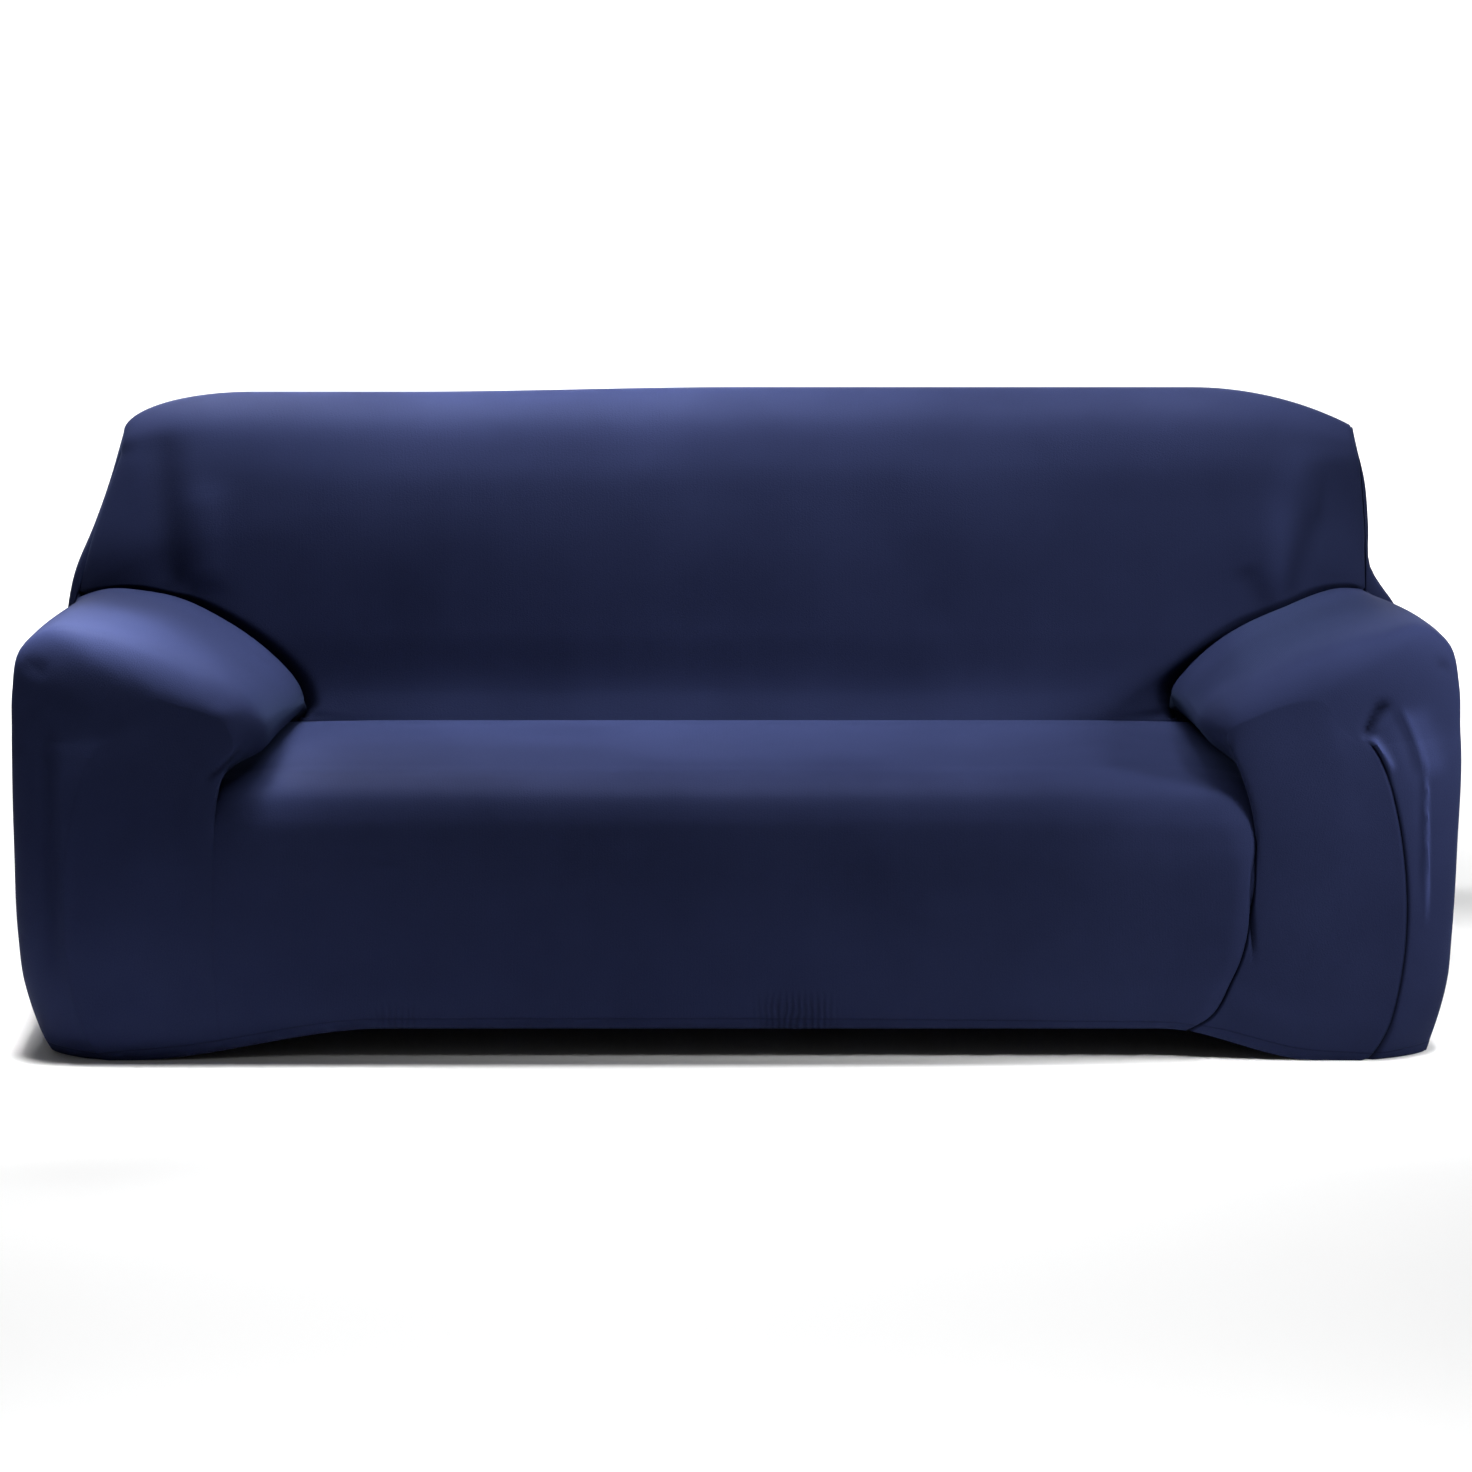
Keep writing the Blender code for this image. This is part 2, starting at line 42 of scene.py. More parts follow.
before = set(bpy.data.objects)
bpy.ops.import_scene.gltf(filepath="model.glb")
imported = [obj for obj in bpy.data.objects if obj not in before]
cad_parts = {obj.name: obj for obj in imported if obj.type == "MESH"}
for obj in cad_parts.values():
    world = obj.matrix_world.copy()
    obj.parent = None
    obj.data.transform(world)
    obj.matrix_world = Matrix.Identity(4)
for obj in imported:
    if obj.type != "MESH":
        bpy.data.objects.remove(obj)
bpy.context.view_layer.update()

# Sizes that the panels share with their solids.
HALF_WIDTH = 1.030
HEM_HEIGHT = 0.047  # of the front hem between the arms
HEM_SETTLE = 0.07  # how far above the hem its unevenness has died out
REAR_HEM_HEIGHT = 0.016
LEFT_HEM_DROP = (0.50, 0.87)  # x where the front hem leaves its height and where it is on the floor
RIGHT_HEM_DROP = (0.60, 0.83)

# Steps of the panel grids, counted in quads.
FINE = 1
FACE_STEPS = 60 // FINE
ROUND_STEPS = 32 // FINE
ROLL_STEPS = 48 // FINE
ARCH_STEPS = 72 // FINE
END_STEPS = 44 // FINE
HALF_STEPS = 76 // FINE  # from a side seam to the middle of the body panel

# Rows of the body panel: where its seams meet the crease, the top of the arms and the nape.
CREASE_ROW = FACE_STEPS + ROUND_STEPS + ROLL_STEPS
PEAK_ROW = CREASE_ROW + ARCH_STEPS
NAPE_ROW = PEAK_ROW + END_STEPS

# The body panel: a row for each section across it, from the front hem to the rear hem.  y and z
# place its middle.  facing is the way the cloth looks, in degrees: 0 to the front, 90 up, 180 to
# the rear.  Towards a seam the section drops against its facing by drop over the last fall metres.
BODY_COLUMNS = "y z facing right_x right_drop right_fall left_x left_drop left_fall"
BODY = {
    "front_hem": (-0.424, HEM_HEIGHT, 0, 0.645, 0.004, 0.03, 0.728, 0.000, 0.10),
    "hem_tuck": (-0.436, 0.072, 0, 0.676, 0.008, 0.03, 0.736, 0.000, 0.10),
    "apron_low": (-0.442, 0.125, 0, 0.709, 0.011, 0.03, 0.740, 0.000, 0.10),
    "apron_middle": (-0.446, 0.215, 0, 0.731, 0.012, 0.03, 0.741, 0.001, 0.10),
    "apron_high": (-0.444, 0.315, 0, 0.735, 0.012, 0.04, 0.738, 0.003, 0.10),
    "brow": (-0.437, 0.352, 0, 0.733, 0.013, 0.05, 0.736, 0.006, 0.10),
    "corner": (-0.420, 0.383, 40, 0.732, 0.013, 0.06, 0.734, 0.009, 0.10),
    "lip": (-0.383, 0.402, 70, 0.732, 0.014, 0.08, 0.734, 0.012, 0.12),
    "seat_front": (-0.320, 0.410, 90, 0.732, 0.016, 0.12, 0.733, 0.015, 0.15),
    "seat_middle": (-0.130, 0.415, 90, 0.718, 0.020, 0.18, 0.720, 0.020, 0.18),
    "seat_rear": (0.060, 0.408, 90, 0.704, 0.013, 0.18, 0.704, 0.013, 0.18),
    "crease": (0.116, 0.398, 90, 0.700, 0.002, 0.18, 0.700, 0.002, 0.18),
    "back_low": (0.134, 0.440, 0, 0.967, 0.100, 0.22, 1.006, 0.100, 0.22),
    "back_middle": (0.148, 0.530, 0, 0.967, 0.100, 0.22, 1.006, 0.100, 0.22),
    "arm_top": (0.173, 0.680, 0, 0.967, 0.100, 0.22, 1.006, 0.100, 0.22),
    "back_high": (0.182, 0.715, 1, 0.968, 0.100, 0.23, 0.992, 0.095, 0.22),
    "forehead": (0.206, 0.785, 8, 0.958, 0.085, 0.24, 0.950, 0.080, 0.22),
    "crown_front": (0.246, 0.848, 45, 0.951, 0.075, 0.25, 0.944, 0.070, 0.20),
    "crown": (0.318, 0.882, 90, 0.950, 0.068, 0.25, 0.943, 0.064, 0.20),
    "crown_rear": (0.398, 0.852, 140, 0.952, 0.055, 0.22, 0.944, 0.056, 0.20),
    "nape": (0.430, 0.790, 172, 0.956, 0.035, 0.12, 0.952, 0.035, 0.12),
    "rear_high": (0.440, 0.620, 180, 0.982, 0.030, 0.08, 0.985, 0.030, 0.08),
    "rear_middle": (0.445, 0.350, 180, 0.996, 0.030, 0.08, 0.996, 0.030, 0.08),
    "rear_low": (0.443, 0.110, 180, 0.990, 0.030, 0.08, 0.990, 0.030, 0.08),
    "rear_tuck": (0.436, 0.050, 180, 0.978, 0.030, 0.08, 0.974, 0.030, 0.08),
    "rear_hem": (0.424, REAR_HEM_HEIGHT, 180, 0.958, 0.030, 0.08, 0.950, 0.030, 0.08),
}
LEFT_ROUNDNESS, RIGHT_ROUNDNESS = 1.0, 0.25  # 1 turns like a circle, 0 like a parabola
FAN_POWER = 0.6  # under 1, the rows beside the arms stand further apart low down
FAN_REACH = 7  # how near the seam those rows bend to meet it
FAN_SETTLE = 0.12  # how far above the arms the rows are level again
COLUMN_POWER = 1.5  # over 1, the columns are closer together near the side seams

# Soft folds down the inside back, as x, width, depth, high and fade.  depth is how far in a fold
# runs, less than 0 for a ridge, and it fades out over the last fade metres below high.
BACK_FOLDS = {
    "right_pull": (0.822, 0.045, -0.009, 0.800, 0.220),
    "right_hollow": (0.822, 0.095, 0.005, 0.790, 0.200),
    "left_trough": (-0.862, 0.048, 0.007, 0.760, 0.170),
    "left_swell": (-0.780, 0.060, -0.003, 0.760, 0.200),
}

# The back's top is a little lower on the left.
LEFT_FALL = 0.007
LEFT_FALL_RUN = 0.5  # across
LEFT_FALL_FROM, LEFT_FALL_OVER = 0.6, 0.25  # upwards

# The rolled arms: a row for each line that runs along one, from the crease beside the seat, under
# and round the nose of the roll, over the top and down to the side seam.  The face columns place
# it where the flat front begins to turn, the front columns where the turn ends, and the rear ones
# where the roll meets the inside back.  x counts outwards from the middle of the cover.
ARM_COLUMNS = "face_x face_z front_x front_z rear_x rear_z"
LEFT_ARM = {
    "crease": (0.738, 0.376, 0.738, 0.390, 0.668, 0.395),
    "under": (0.730, 0.406, 0.706, 0.410, 0.654, 0.403),
    "nose_low": (0.716, 0.432, 0.678, 0.430, 0.646, 0.412),
    "nose": (0.708, 0.460, 0.668, 0.464, 0.646, 0.426),
    "nose_high": (0.720, 0.494, 0.684, 0.506, 0.662, 0.456),
    "shoulder": (0.745, 0.506, 0.726, 0.541, 0.706, 0.502),
    "rise": (0.772, 0.514, 0.784, 0.570, 0.766, 0.546),
    "top": (0.794, 0.521, 0.848, 0.597, 0.838, 0.580),
    "crest": (0.814, 0.524, 0.912, 0.613, 0.914, 0.592),
    "outer": (0.832, 0.512, 0.978, 0.614, 0.954, 0.590),
    "turn": (0.848, 0.490, 1.016, 0.584, 0.978, 0.584),
    "side": (0.868, 0.468, 1.028, 0.526, 0.996, 0.579),
    "seam": (0.896, 0.458, 1.030, 0.466, 1.006, 0.575),
}
RIGHT_ARM = {
    "crease": (0.736, 0.376, 0.736, 0.388, 0.672, 0.395),
    "under": (0.724, 0.406, 0.708, 0.414, 0.658, 0.407),
    "nose_low": (0.708, 0.438, 0.680, 0.440, 0.652, 0.424),
    "nose": (0.692, 0.476, 0.658, 0.478, 0.658, 0.450),
    "nose_high": (0.706, 0.490, 0.670, 0.507, 0.686, 0.480),
    "shoulder": (0.728, 0.500, 0.704, 0.532, 0.726, 0.515),
    "rise": (0.758, 0.513, 0.762, 0.562, 0.780, 0.547),
    "top": (0.788, 0.522, 0.832, 0.591, 0.836, 0.569),
    "crest": (0.812, 0.524, 0.905, 0.611, 0.884, 0.584),
    "outer": (0.830, 0.512, 0.975, 0.620, 0.918, 0.588),
    "turn": (0.846, 0.491, 1.012, 0.592, 0.944, 0.586),
    "side": (0.866, 0.470, 1.027, 0.534, 0.958, 0.582),
    "seam": (0.893, 0.458, 1.030, 0.470, 0.967, 0.577),
}
FACE_Y = -0.440
FACE_SWELL = 0.006
FACE_LEAN = 0.005  # how far the front has leant back where its turn begins
LEAN_RUN = 0.18  # over this top share of its height
LEAN_ANGLE = 14
FACE_FLARE = 6  # how much later the inner lines of the front widen to the roll than the outer
HEM_TUCK, HEM_TUCK_HEIGHT = 0.016, 0.06  # how far and from what height the hem is drawn in
ROLL_Y = -0.368  # where the front turn ends
TURN_EASE = 1.4  # over 1, the turn leaves the front slowly
SOFT_ROWS = 12 // FINE  # rows to each side of the turn's two ends that are evened out
SOFT_PASSES = 40 // FINE**2
SOFT_STEP = 0.5  # share of the way that a row moves at each pass
OUTER_FROM, OUTER_OVER, OUTER_LOSS = 0.5, 0.3, 0.85  # the outer lines are evened out this much less
ROLL_EASE = 1.3  # over 1, the roll leaves the front turn without an edge
ROLL_TAPER = 0.5  # how much later the outer lines of the roll narrow than the inner
SEAM_HOLD = 0.3  # share of the arm's width that follows its seam beside the seat
ARM_HEM_OUT = 0.895
SIDE_SEAM_BOW = 0.057  # how far the seam down the arm's front bows outwards
BOW_LOWNESS, BOW_FULLNESS = 0.9, 0.6

# The side panel: how far its outline stands in from HALF_WIDTH, by height.
SIDE_COLUMNS = "z left_in right_in"
SIDE = {
    "hem": (0.000, 0.053, 0.042),
    "hem_turn": (0.022, 0.039, 0.034),
    "tuck": (0.055, 0.025, 0.023),
    "low": (0.105, 0.010, 0.011),
    "calf": (0.170, 0.003, 0.006),
    "middle": (0.300, 0.000, 0.001),
    "full": (0.460, 0.000, 0.000),
    "shelf": (0.545, 0.002, 0.012),
    "flare": (0.605, 0.013, 0.052),
    "end_low": (0.670, 0.039, 0.056),
    "end_high": (0.740, 0.064, 0.062),
    "end_top": (0.810, 0.085, 0.078),
}
REAR_TURN = 0.2  # share of the side's length over which it closes on the rear seam
TOP_PULL = 8  # how near the top seam the side bends to meet it
RUNS_ON = 0.3  # panels whose normals agree by more than this share a mitred seam

# Creases and ridges placed as x0, z0, x1, z1, bow, start, width, depth and painted light: lines in
# front view from (x0, z0) to (x1, z1).  bow is how far the line's middle stands to its left, width
# the crease's half width where it ends, start its share of that width where it begins, depth how
# far it runs in, less than 0 for a ridge, and the painted light how much lighter the yarn's colour
# is painted on it: a painted highlight above 0, painted shade below 0 where a crease keeps the
# light out.
FRONT_CREASES = {
    "left_corner_fold": (-0.752, 0.404, -0.690, 0.452, 0.000, 0.7, 0.0050, 0.0035, -0.45),
    "left_arm_trough": (-0.972, 0.500, -0.968, 0.100, 0.002, 1.0, 0.0120, 0.0050, -0.15),
    "left_arm_ridge": (-0.946, 0.460, -0.950, 0.120, -0.003, 1.0, 0.0140, -0.0025, 0.05),
    "left_crumple": (-1.012, 0.570, -0.968, 0.556, 0.002, 1.0, 0.0100, 0.0020, -0.22),
    "right_lip": (0.890, 0.474, 0.928, 0.416, 0.003, 1.0, 0.0050, -0.0050, 1.10),
    "right_pocket": (0.884, 0.464, 0.918, 0.522, 0.004, 0.6, 0.0080, 0.0090, -0.55),
    "right_pocket_fold": (0.897, 0.474, 0.923, 0.508, -0.002, 1.0, 0.0030, -0.0020, 0.10),
    "right_valley": (0.922, 0.516, 0.962, 0.400, 0.006, 1.0, 0.0100, 0.0030, -0.18),
    "right_pinch": (0.934, 0.520, 0.977, 0.410, 0.004, 1.6, 0.0035, -0.0025, 0.90),
    "right_facet": (0.950, 0.515, 0.992, 0.400, 0.003, 1.0, 0.0170, -0.0015, 0.50),
    "right_streak_valley": (0.966, 0.440, 0.969, 0.220, 0.001, 1.0, 0.0070, 0.0025, -0.12),
    "right_streak": (0.974, 0.446, 0.980, 0.190, 0.001, 0.7, 0.0030, -0.0030, 1.50),
    "right_nose_fold": (0.690, 0.490, 0.698, 0.440, 0.002, 1.0, 0.0060, 0.0012, -0.20),
    "right_seam_twin": (0.738, 0.345, 0.738, 0.140, -0.008, 0.8, 0.0026, 0.0060, -0.70),
    "right_notch": (0.985, 0.572, 1.012, 0.562, 0.001, 1.0, 0.0060, 0.0020, -0.35),
}
BACK_CREASES = {
    "right_pull": (0.876, 0.810, 0.814, 0.556, -0.014, 2.4, 0.0150, -0.0050, 0.22),
    "right_pull_inner": (0.762, 0.630, 0.808, 0.545, 0.004, 1.2, 0.0190, 0.0030, -0.18),
    "right_pull_outer": (0.892, 0.720, 0.834, 0.550, -0.006, 1.4, 0.0140, 0.0045, -0.22),
    "right_line": (0.893, 0.760, 0.886, 0.680, 0.002, 1.0, 0.0050, 0.0025, -0.15),
    "left_trough": (-0.880, 0.860, -0.850, 0.540, 0.002, 1.6, 0.0190, 0.0060, -0.24),
    "left_swell": (-0.812, 0.760, -0.800, 0.580, 0.002, 1.0, 0.0280, -0.0045, 0.05),
}
FRONT_OF = -0.350  # the front creases end before this depth
BACK_TO = 0.350  # and the back creases before this one
CREASE_FADE = 0.06
CREASE_ENDS = 0.25  # share of a crease's length over which it fades at each end
CREASE_SHARE = 0.03
TUCK_FROM, TUCK_OVER = 0.28, 0.58  # shares of the seam beside the seat where the tuck deepens
CORNER_FADE = 0.06  # how far below the seat's corner the left seam begins to show, as a share
BODY_SHADE, ARM_SHADE, ARM_END_SHADE = 0.016, 0.075, 0.030  # how far the tuck's painted shade reaches on each panel
SHADE_SHARE = 0.7  # how dark that painted shade is beside the tuck's own line

HEM_DEPTH = 0.018  # of the line of stitches above the hem
HEM_STITCH = 0.0012
GATHER_SCALE = 34  # of the wave whose bands stand about 9 mm apart

# The hem's small gathers: where their middle is across the front, how far they reach to each side
# and up, and how strong they are.
GATHERS = {
    "middle": (0.084, 0.070, 0.112, 1.0),
    "left": (-0.482, 0.045, 0.095, 0.5),
}
GATHER_CORE = 0.3  # share of its reach over which a gather has its full strength
GATHER_RISE = 0.035  # its height over which it fades out
GATHER_FROM, GATHER_FULL = -0.30, -0.35  # depths between which it comes in

# How much lighter the yarn's colour is painted where a mark is 1, less than 0 for darker: painted
# shade in the seams' grooves, in the tuck beside the arms, along the hem's stitches and in the
# gathers, and painted highlights and shade on the creases.
PAINTED_LIGHT_SHARES = {"seam": -0.85, "tuck": -0.85, "painted_light": 1.0}
HEM_LINE_SHADE, GATHER_SHADE = -0.3, -0.35
MOTTLE_SHARE, FLECK_SHARE = 0.6, 0.4
MOTTLE_RANGE = (0.32, 0.70)  # of the noise, from the deep navy to the light one
RIB_HEIGHT = 0.15  # against the flecks
SHARP_ANGLE = 55

# The floor sheet: y of its front edge and of the foot of its sweep, the sweep's radius, the wall's
# top and the reach to each side.
FLOOR_FRONT, WALL_FOOT, SWEEP, WALL_TOP, FLOOR_REACH = -14, 5, 3, 12, 16
SWEEP_STEPS = 32

# The lamps: where each stands, the point it shines towards, its two sizes, its power in watts and
# the angle of its cone in degrees.
LAMPS = {
    "strip": ((-0.1, -0.35, 2.6), (-0.1, -0.34, 0.4), (2.2, 0.25), 72, 180),
    "hair": ((-1.0, 0.9, 1.7), (-0.8, 0, 0.6), (0.6, 0.4), 27, 180),
    "left_arm": ((-0.93, -0.30, 1.35), (-0.93, -0.33, 0.6), (0.25, 0.2), 4.3, 50),
    "right_arm": ((1.15, -0.95, 2.2), (0.9, -0.42, 0.58), (0.3, 0.3), 0.9, 24),
    "right_top": ((1.2, -0.55, 2.2), (0.88, -0.42, 0.6), (0.3, 0.3), 0.5, 30),
    "right_side": ((3.0, -1.5, 1.9), (1.0, -0.3, 0.55), (0.6, 0.6), 4.4, 26),
    "rim": ((4.5, 0.3, 2.6), (0.9, 0, 0.5), (1.5, 1.5), 50, 180),
    "seat": ((-0.1, 0.2, 2.6), (-0.15, -0.15, 0.41), (1.0, 0.4), 5.0, 30),
    "back_left": ((-0.4, 0.5, 1.9), (-0.4, 0.3, 0.88), (1.1, 0.15), 6.0, 34),
    "back_right": ((0.55, 0.5, 1.9), (0.6, 0.3, 0.88), (0.8, 0.15), 2.9, 34),
    "floor_front": ((0, -4.6, 3.2), (0, -3.6, 0), (4.0, 1.0), 45, 60),
    "backdrop": ((0, 2.6, 3.4), (0, 7.6, 0.7), (4.0, 1.0), 480, 180),
}
WORLD_LIGHT = 0.07
CAMERA_PLACE, CAMERA_TILT = (0, -7.64, 1.75), 79.94  # metres, and degrees up from straight down
LENS, SENSOR = 127.13, 36  # millimetres


def columns(table, names):
    """The table's columns as named arrays, one value for each row."""
    values = np.array(list(table.values()))
    return {name: values[:, i] for i, name in enumerate(names.split())}


def spline(knots, values, at, corner=None):
    """A cubic curve through the rows of values.  At the corner row it may turn sharply."""
    step = np.diff(knots)[:, None]
    slope = np.diff(values, axis=0) / step
    inner = (step[1:] * slope[:-1] + step[:-1] * slope[1:]) / (step[1:] + step[:-1])
    leaving = np.vstack([slope[:1], inner, slope[-1:]])
    arriving = leaving.copy()
    if corner is not None:
        arriving[corner], leaving[corner] = slope[corner - 1], slope[corner]
    i = np.clip(np.searchsorted(knots, at, side="right") - 1, 0, len(knots) - 2)
    h = step[i]
    t = ((at - knots[i]) / h[:, 0])[:, None]
    return (
        (2 * t**3 - 3 * t**2 + 1) * values[i]
        + (t**3 - 2 * t**2 + t) * h * leaving[i]
        + (3 * t**2 - 2 * t**3) * values[i + 1]
        + (t**3 - t**2) * h * arriving[i + 1]
    )


def smooth_step(t):
    """0 up to 0, 1 from 1 on and smooth between: 3 t^2 - 2 t^3."""
    t = np.clip(t, 0, 1)
    return t * t * (3 - 2 * t)


def turned_edge(t, roundness):
    """How far an edge has turned down, 0 where it starts to and 1 at the seam."""
    t = np.clip(t, 0, 1)
    return roundness * (1 - np.sqrt(1 - t * t)) + (1 - roundness) * t * t


def hem_lift(x):
    """Height of the front hem above the floor: flat between the arms, down to the floor on them."""
    inner = np.where(x < 0, LEFT_HEM_DROP[0], RIGHT_HEM_DROP[0])
    outer = np.where(x < 0, LEFT_HEM_DROP[1], RIGHT_HEM_DROP[1])
    return HEM_HEIGHT * (1 - smooth_step((np.abs(x) - inner) / (outer - inner)))


body = columns(BODY, BODY_COLUMNS)
body_rows = list(BODY)
CREASE = body_rows.index("crease")
chord = np.hypot(np.diff(body["y"]), np.diff(body["z"]))
body_knots = np.concatenate([[0], np.cumsum(chord)])
body_values = np.stack([body[name] for name in BODY_COLUMNS.split()], axis=1)


def knot_of(row):
    """The distance along the body panel at which a named row stands."""
    return body_knots[body_rows.index(row)]


def body_section(at):
    """The body table's columns, smoothly interpolated at distances along the panel."""
    found = spline(body_knots, body_values, at, CREASE)
    return dict(zip(BODY_COLUMNS.split(), found.T))


def back_fold(x, z):
    """How far the soft folds set the inside back in (+) or forward (-) at x and z."""
    depth = 0 * x
    for middle, width, deep, high, fade in BACK_FOLDS.values():
        across = np.exp(-(((x - middle) / width) ** 2))
        depth = depth + deep * across * smooth_step((high - z) / fade)
    return depth


def back_y(x, z):
    """The inside back as a depth over x and z."""
    rows = slice(CREASE, body_rows.index("crown_front"))
    heights = body["z"][rows]
    section = body_section(np.interp(z, heights, body_knots[rows]))
    right = x > 0
    end = np.where(right, section["right_x"], section["left_x"])
    fall = np.where(right, section["right_fall"], section["left_fall"])
    drop = np.where(right, section["right_drop"], section["left_drop"])
    roundness = np.where(right, RIGHT_ROUNDNESS, LEFT_ROUNDNESS)
    turned = drop * turned_edge((np.abs(x) - end + fall) / fall, roundness)
    return section["y"] + turned + back_fold(x, z)


def eased(steps, ease=0.7):
    """Steps from 0 to 1 that are closer together at both ends: t - ease sin(2 pi t) / (2 pi)."""
    t = np.linspace(0, 1, steps + 1)
    return t - ease * np.sin(2 * math.pi * t) / (2 * math.pi)


def between(first, last, share):
    """Distances along the body panel from one named row to another, at shares of the way."""
    return knot_of(first) + (knot_of(last) - knot_of(first)) * share


def arch(prefix, side, at):
    """The arm's outline at its face, front or rear as points (x, z) at shares of the way round."""
    arm = columns(RIGHT_ARM if side > 0 else LEFT_ARM, ARM_COLUMNS)
    outline = np.stack([arm[prefix + "_x"], arm[prefix + "_z"]], axis=1)
    front = np.stack([arm["front_x"], arm["front_z"]], axis=1)
    way = np.concatenate([[0], np.cumsum(np.linalg.norm(np.diff(front, axis=0), axis=1))])
    return spline(way / way[-1], outline, at) * [side, 1]


def body_grid():
    """The body panel: rows from the front hem to the rear hem, columns from left to right.  Each
    row is the table's section across the cover, set down towards the seams and, beside the arms,
    drawn to the rolls' own outlines."""
    face, way = eased(FACE_STEPS), eased(ARCH_STEPS)
    parts = [
        between("front_hem", "corner", face),
        between("corner", "crease", np.linspace(0, 1, ROUND_STEPS + ROLL_STEPS + 1))[1:],
        between("crease", "arm_top", way**FAN_POWER)[1:],
        between("arm_top", "nape", eased(END_STEPS))[1:],
        between("nape", "rear_hem", face)[1:],
    ]
    at = np.concatenate(parts)
    row = np.arange(len(at))[:, None]
    section = {name: value[:, None] for name, value in body_section(at).items()}
    shares = np.linspace(0, 1, HALF_STEPS + 1)[:-1] ** COLUMN_POWER
    across = np.concatenate([shares - 1, [0], 1 - shares[::-1]])[None, :]
    right = across > 0

    fan = slice(CREASE_ROW, PEAK_ROW + 1)
    left_seam, right_seam = arch("rear", -1, way), arch("rear", 1, way)
    left_x, right_x = section["left_x"].copy(), section["right_x"].copy()
    left_x[fan, 0], right_x[fan, 0] = -left_seam[:, 0], right_seam[:, 0]
    seam_x = np.where(right, right_x, left_x)
    x = seam_x * across
    seam_z = np.where(right, right_seam[:, 1:], left_seam[:, 1:])
    reach = np.abs(across) ** FAN_REACH
    settled = smooth_step((at[:, None] - knot_of("arm_top")) / FAN_SETTLE)
    above = (seam_z[-1] - BODY["arm_top"][1]) * reach * (1 - settled)
    height = section["z"] + above * (row > PEAK_ROW)
    height[fan] += (seam_z - height[fan]) * reach
    low_side = smooth_step(-x / LEFT_FALL_RUN)
    high_up = smooth_step((height - LEFT_FALL_FROM) / LEFT_FALL_OVER)
    height = height - LEFT_FALL * low_side * high_up

    drop = np.where(right, section["right_drop"], section["left_drop"])
    fall = np.where(right, section["right_fall"], section["left_fall"])
    roundness = np.where(right | (row < CREASE_ROW), RIGHT_ROUNDNESS, LEFT_ROUNDNESS)
    turned = drop * turned_edge((np.abs(x) - seam_x + fall) / fall, roundness)
    facing = np.radians(section["facing"])
    y = section["y"] + turned * np.cos(facing)
    z = height - turned * np.sin(facing)
    inside_back = (row > CREASE_ROW) & (section["facing"] < 90)
    y = y + back_fold(x, z) * inside_back
    on_back = back_y(x.ravel(), height.ravel()).reshape(x.shape)
    y = np.where((row > PEAK_ROW) & (settled < 1), y * settled + on_back * (1 - settled), y)
    y[fan] = back_y(x[fan].ravel(), height[fan].ravel()).reshape(x[fan].shape)
    z[fan] = height[fan]
    near_hem = (row <= FACE_STEPS) * (1 - smooth_step((z - HEM_HEIGHT) / HEM_SETTLE))
    z = z + (hem_lift(x) - HEM_HEIGHT) * near_hem
    return np.stack([x, y, z], axis=2)


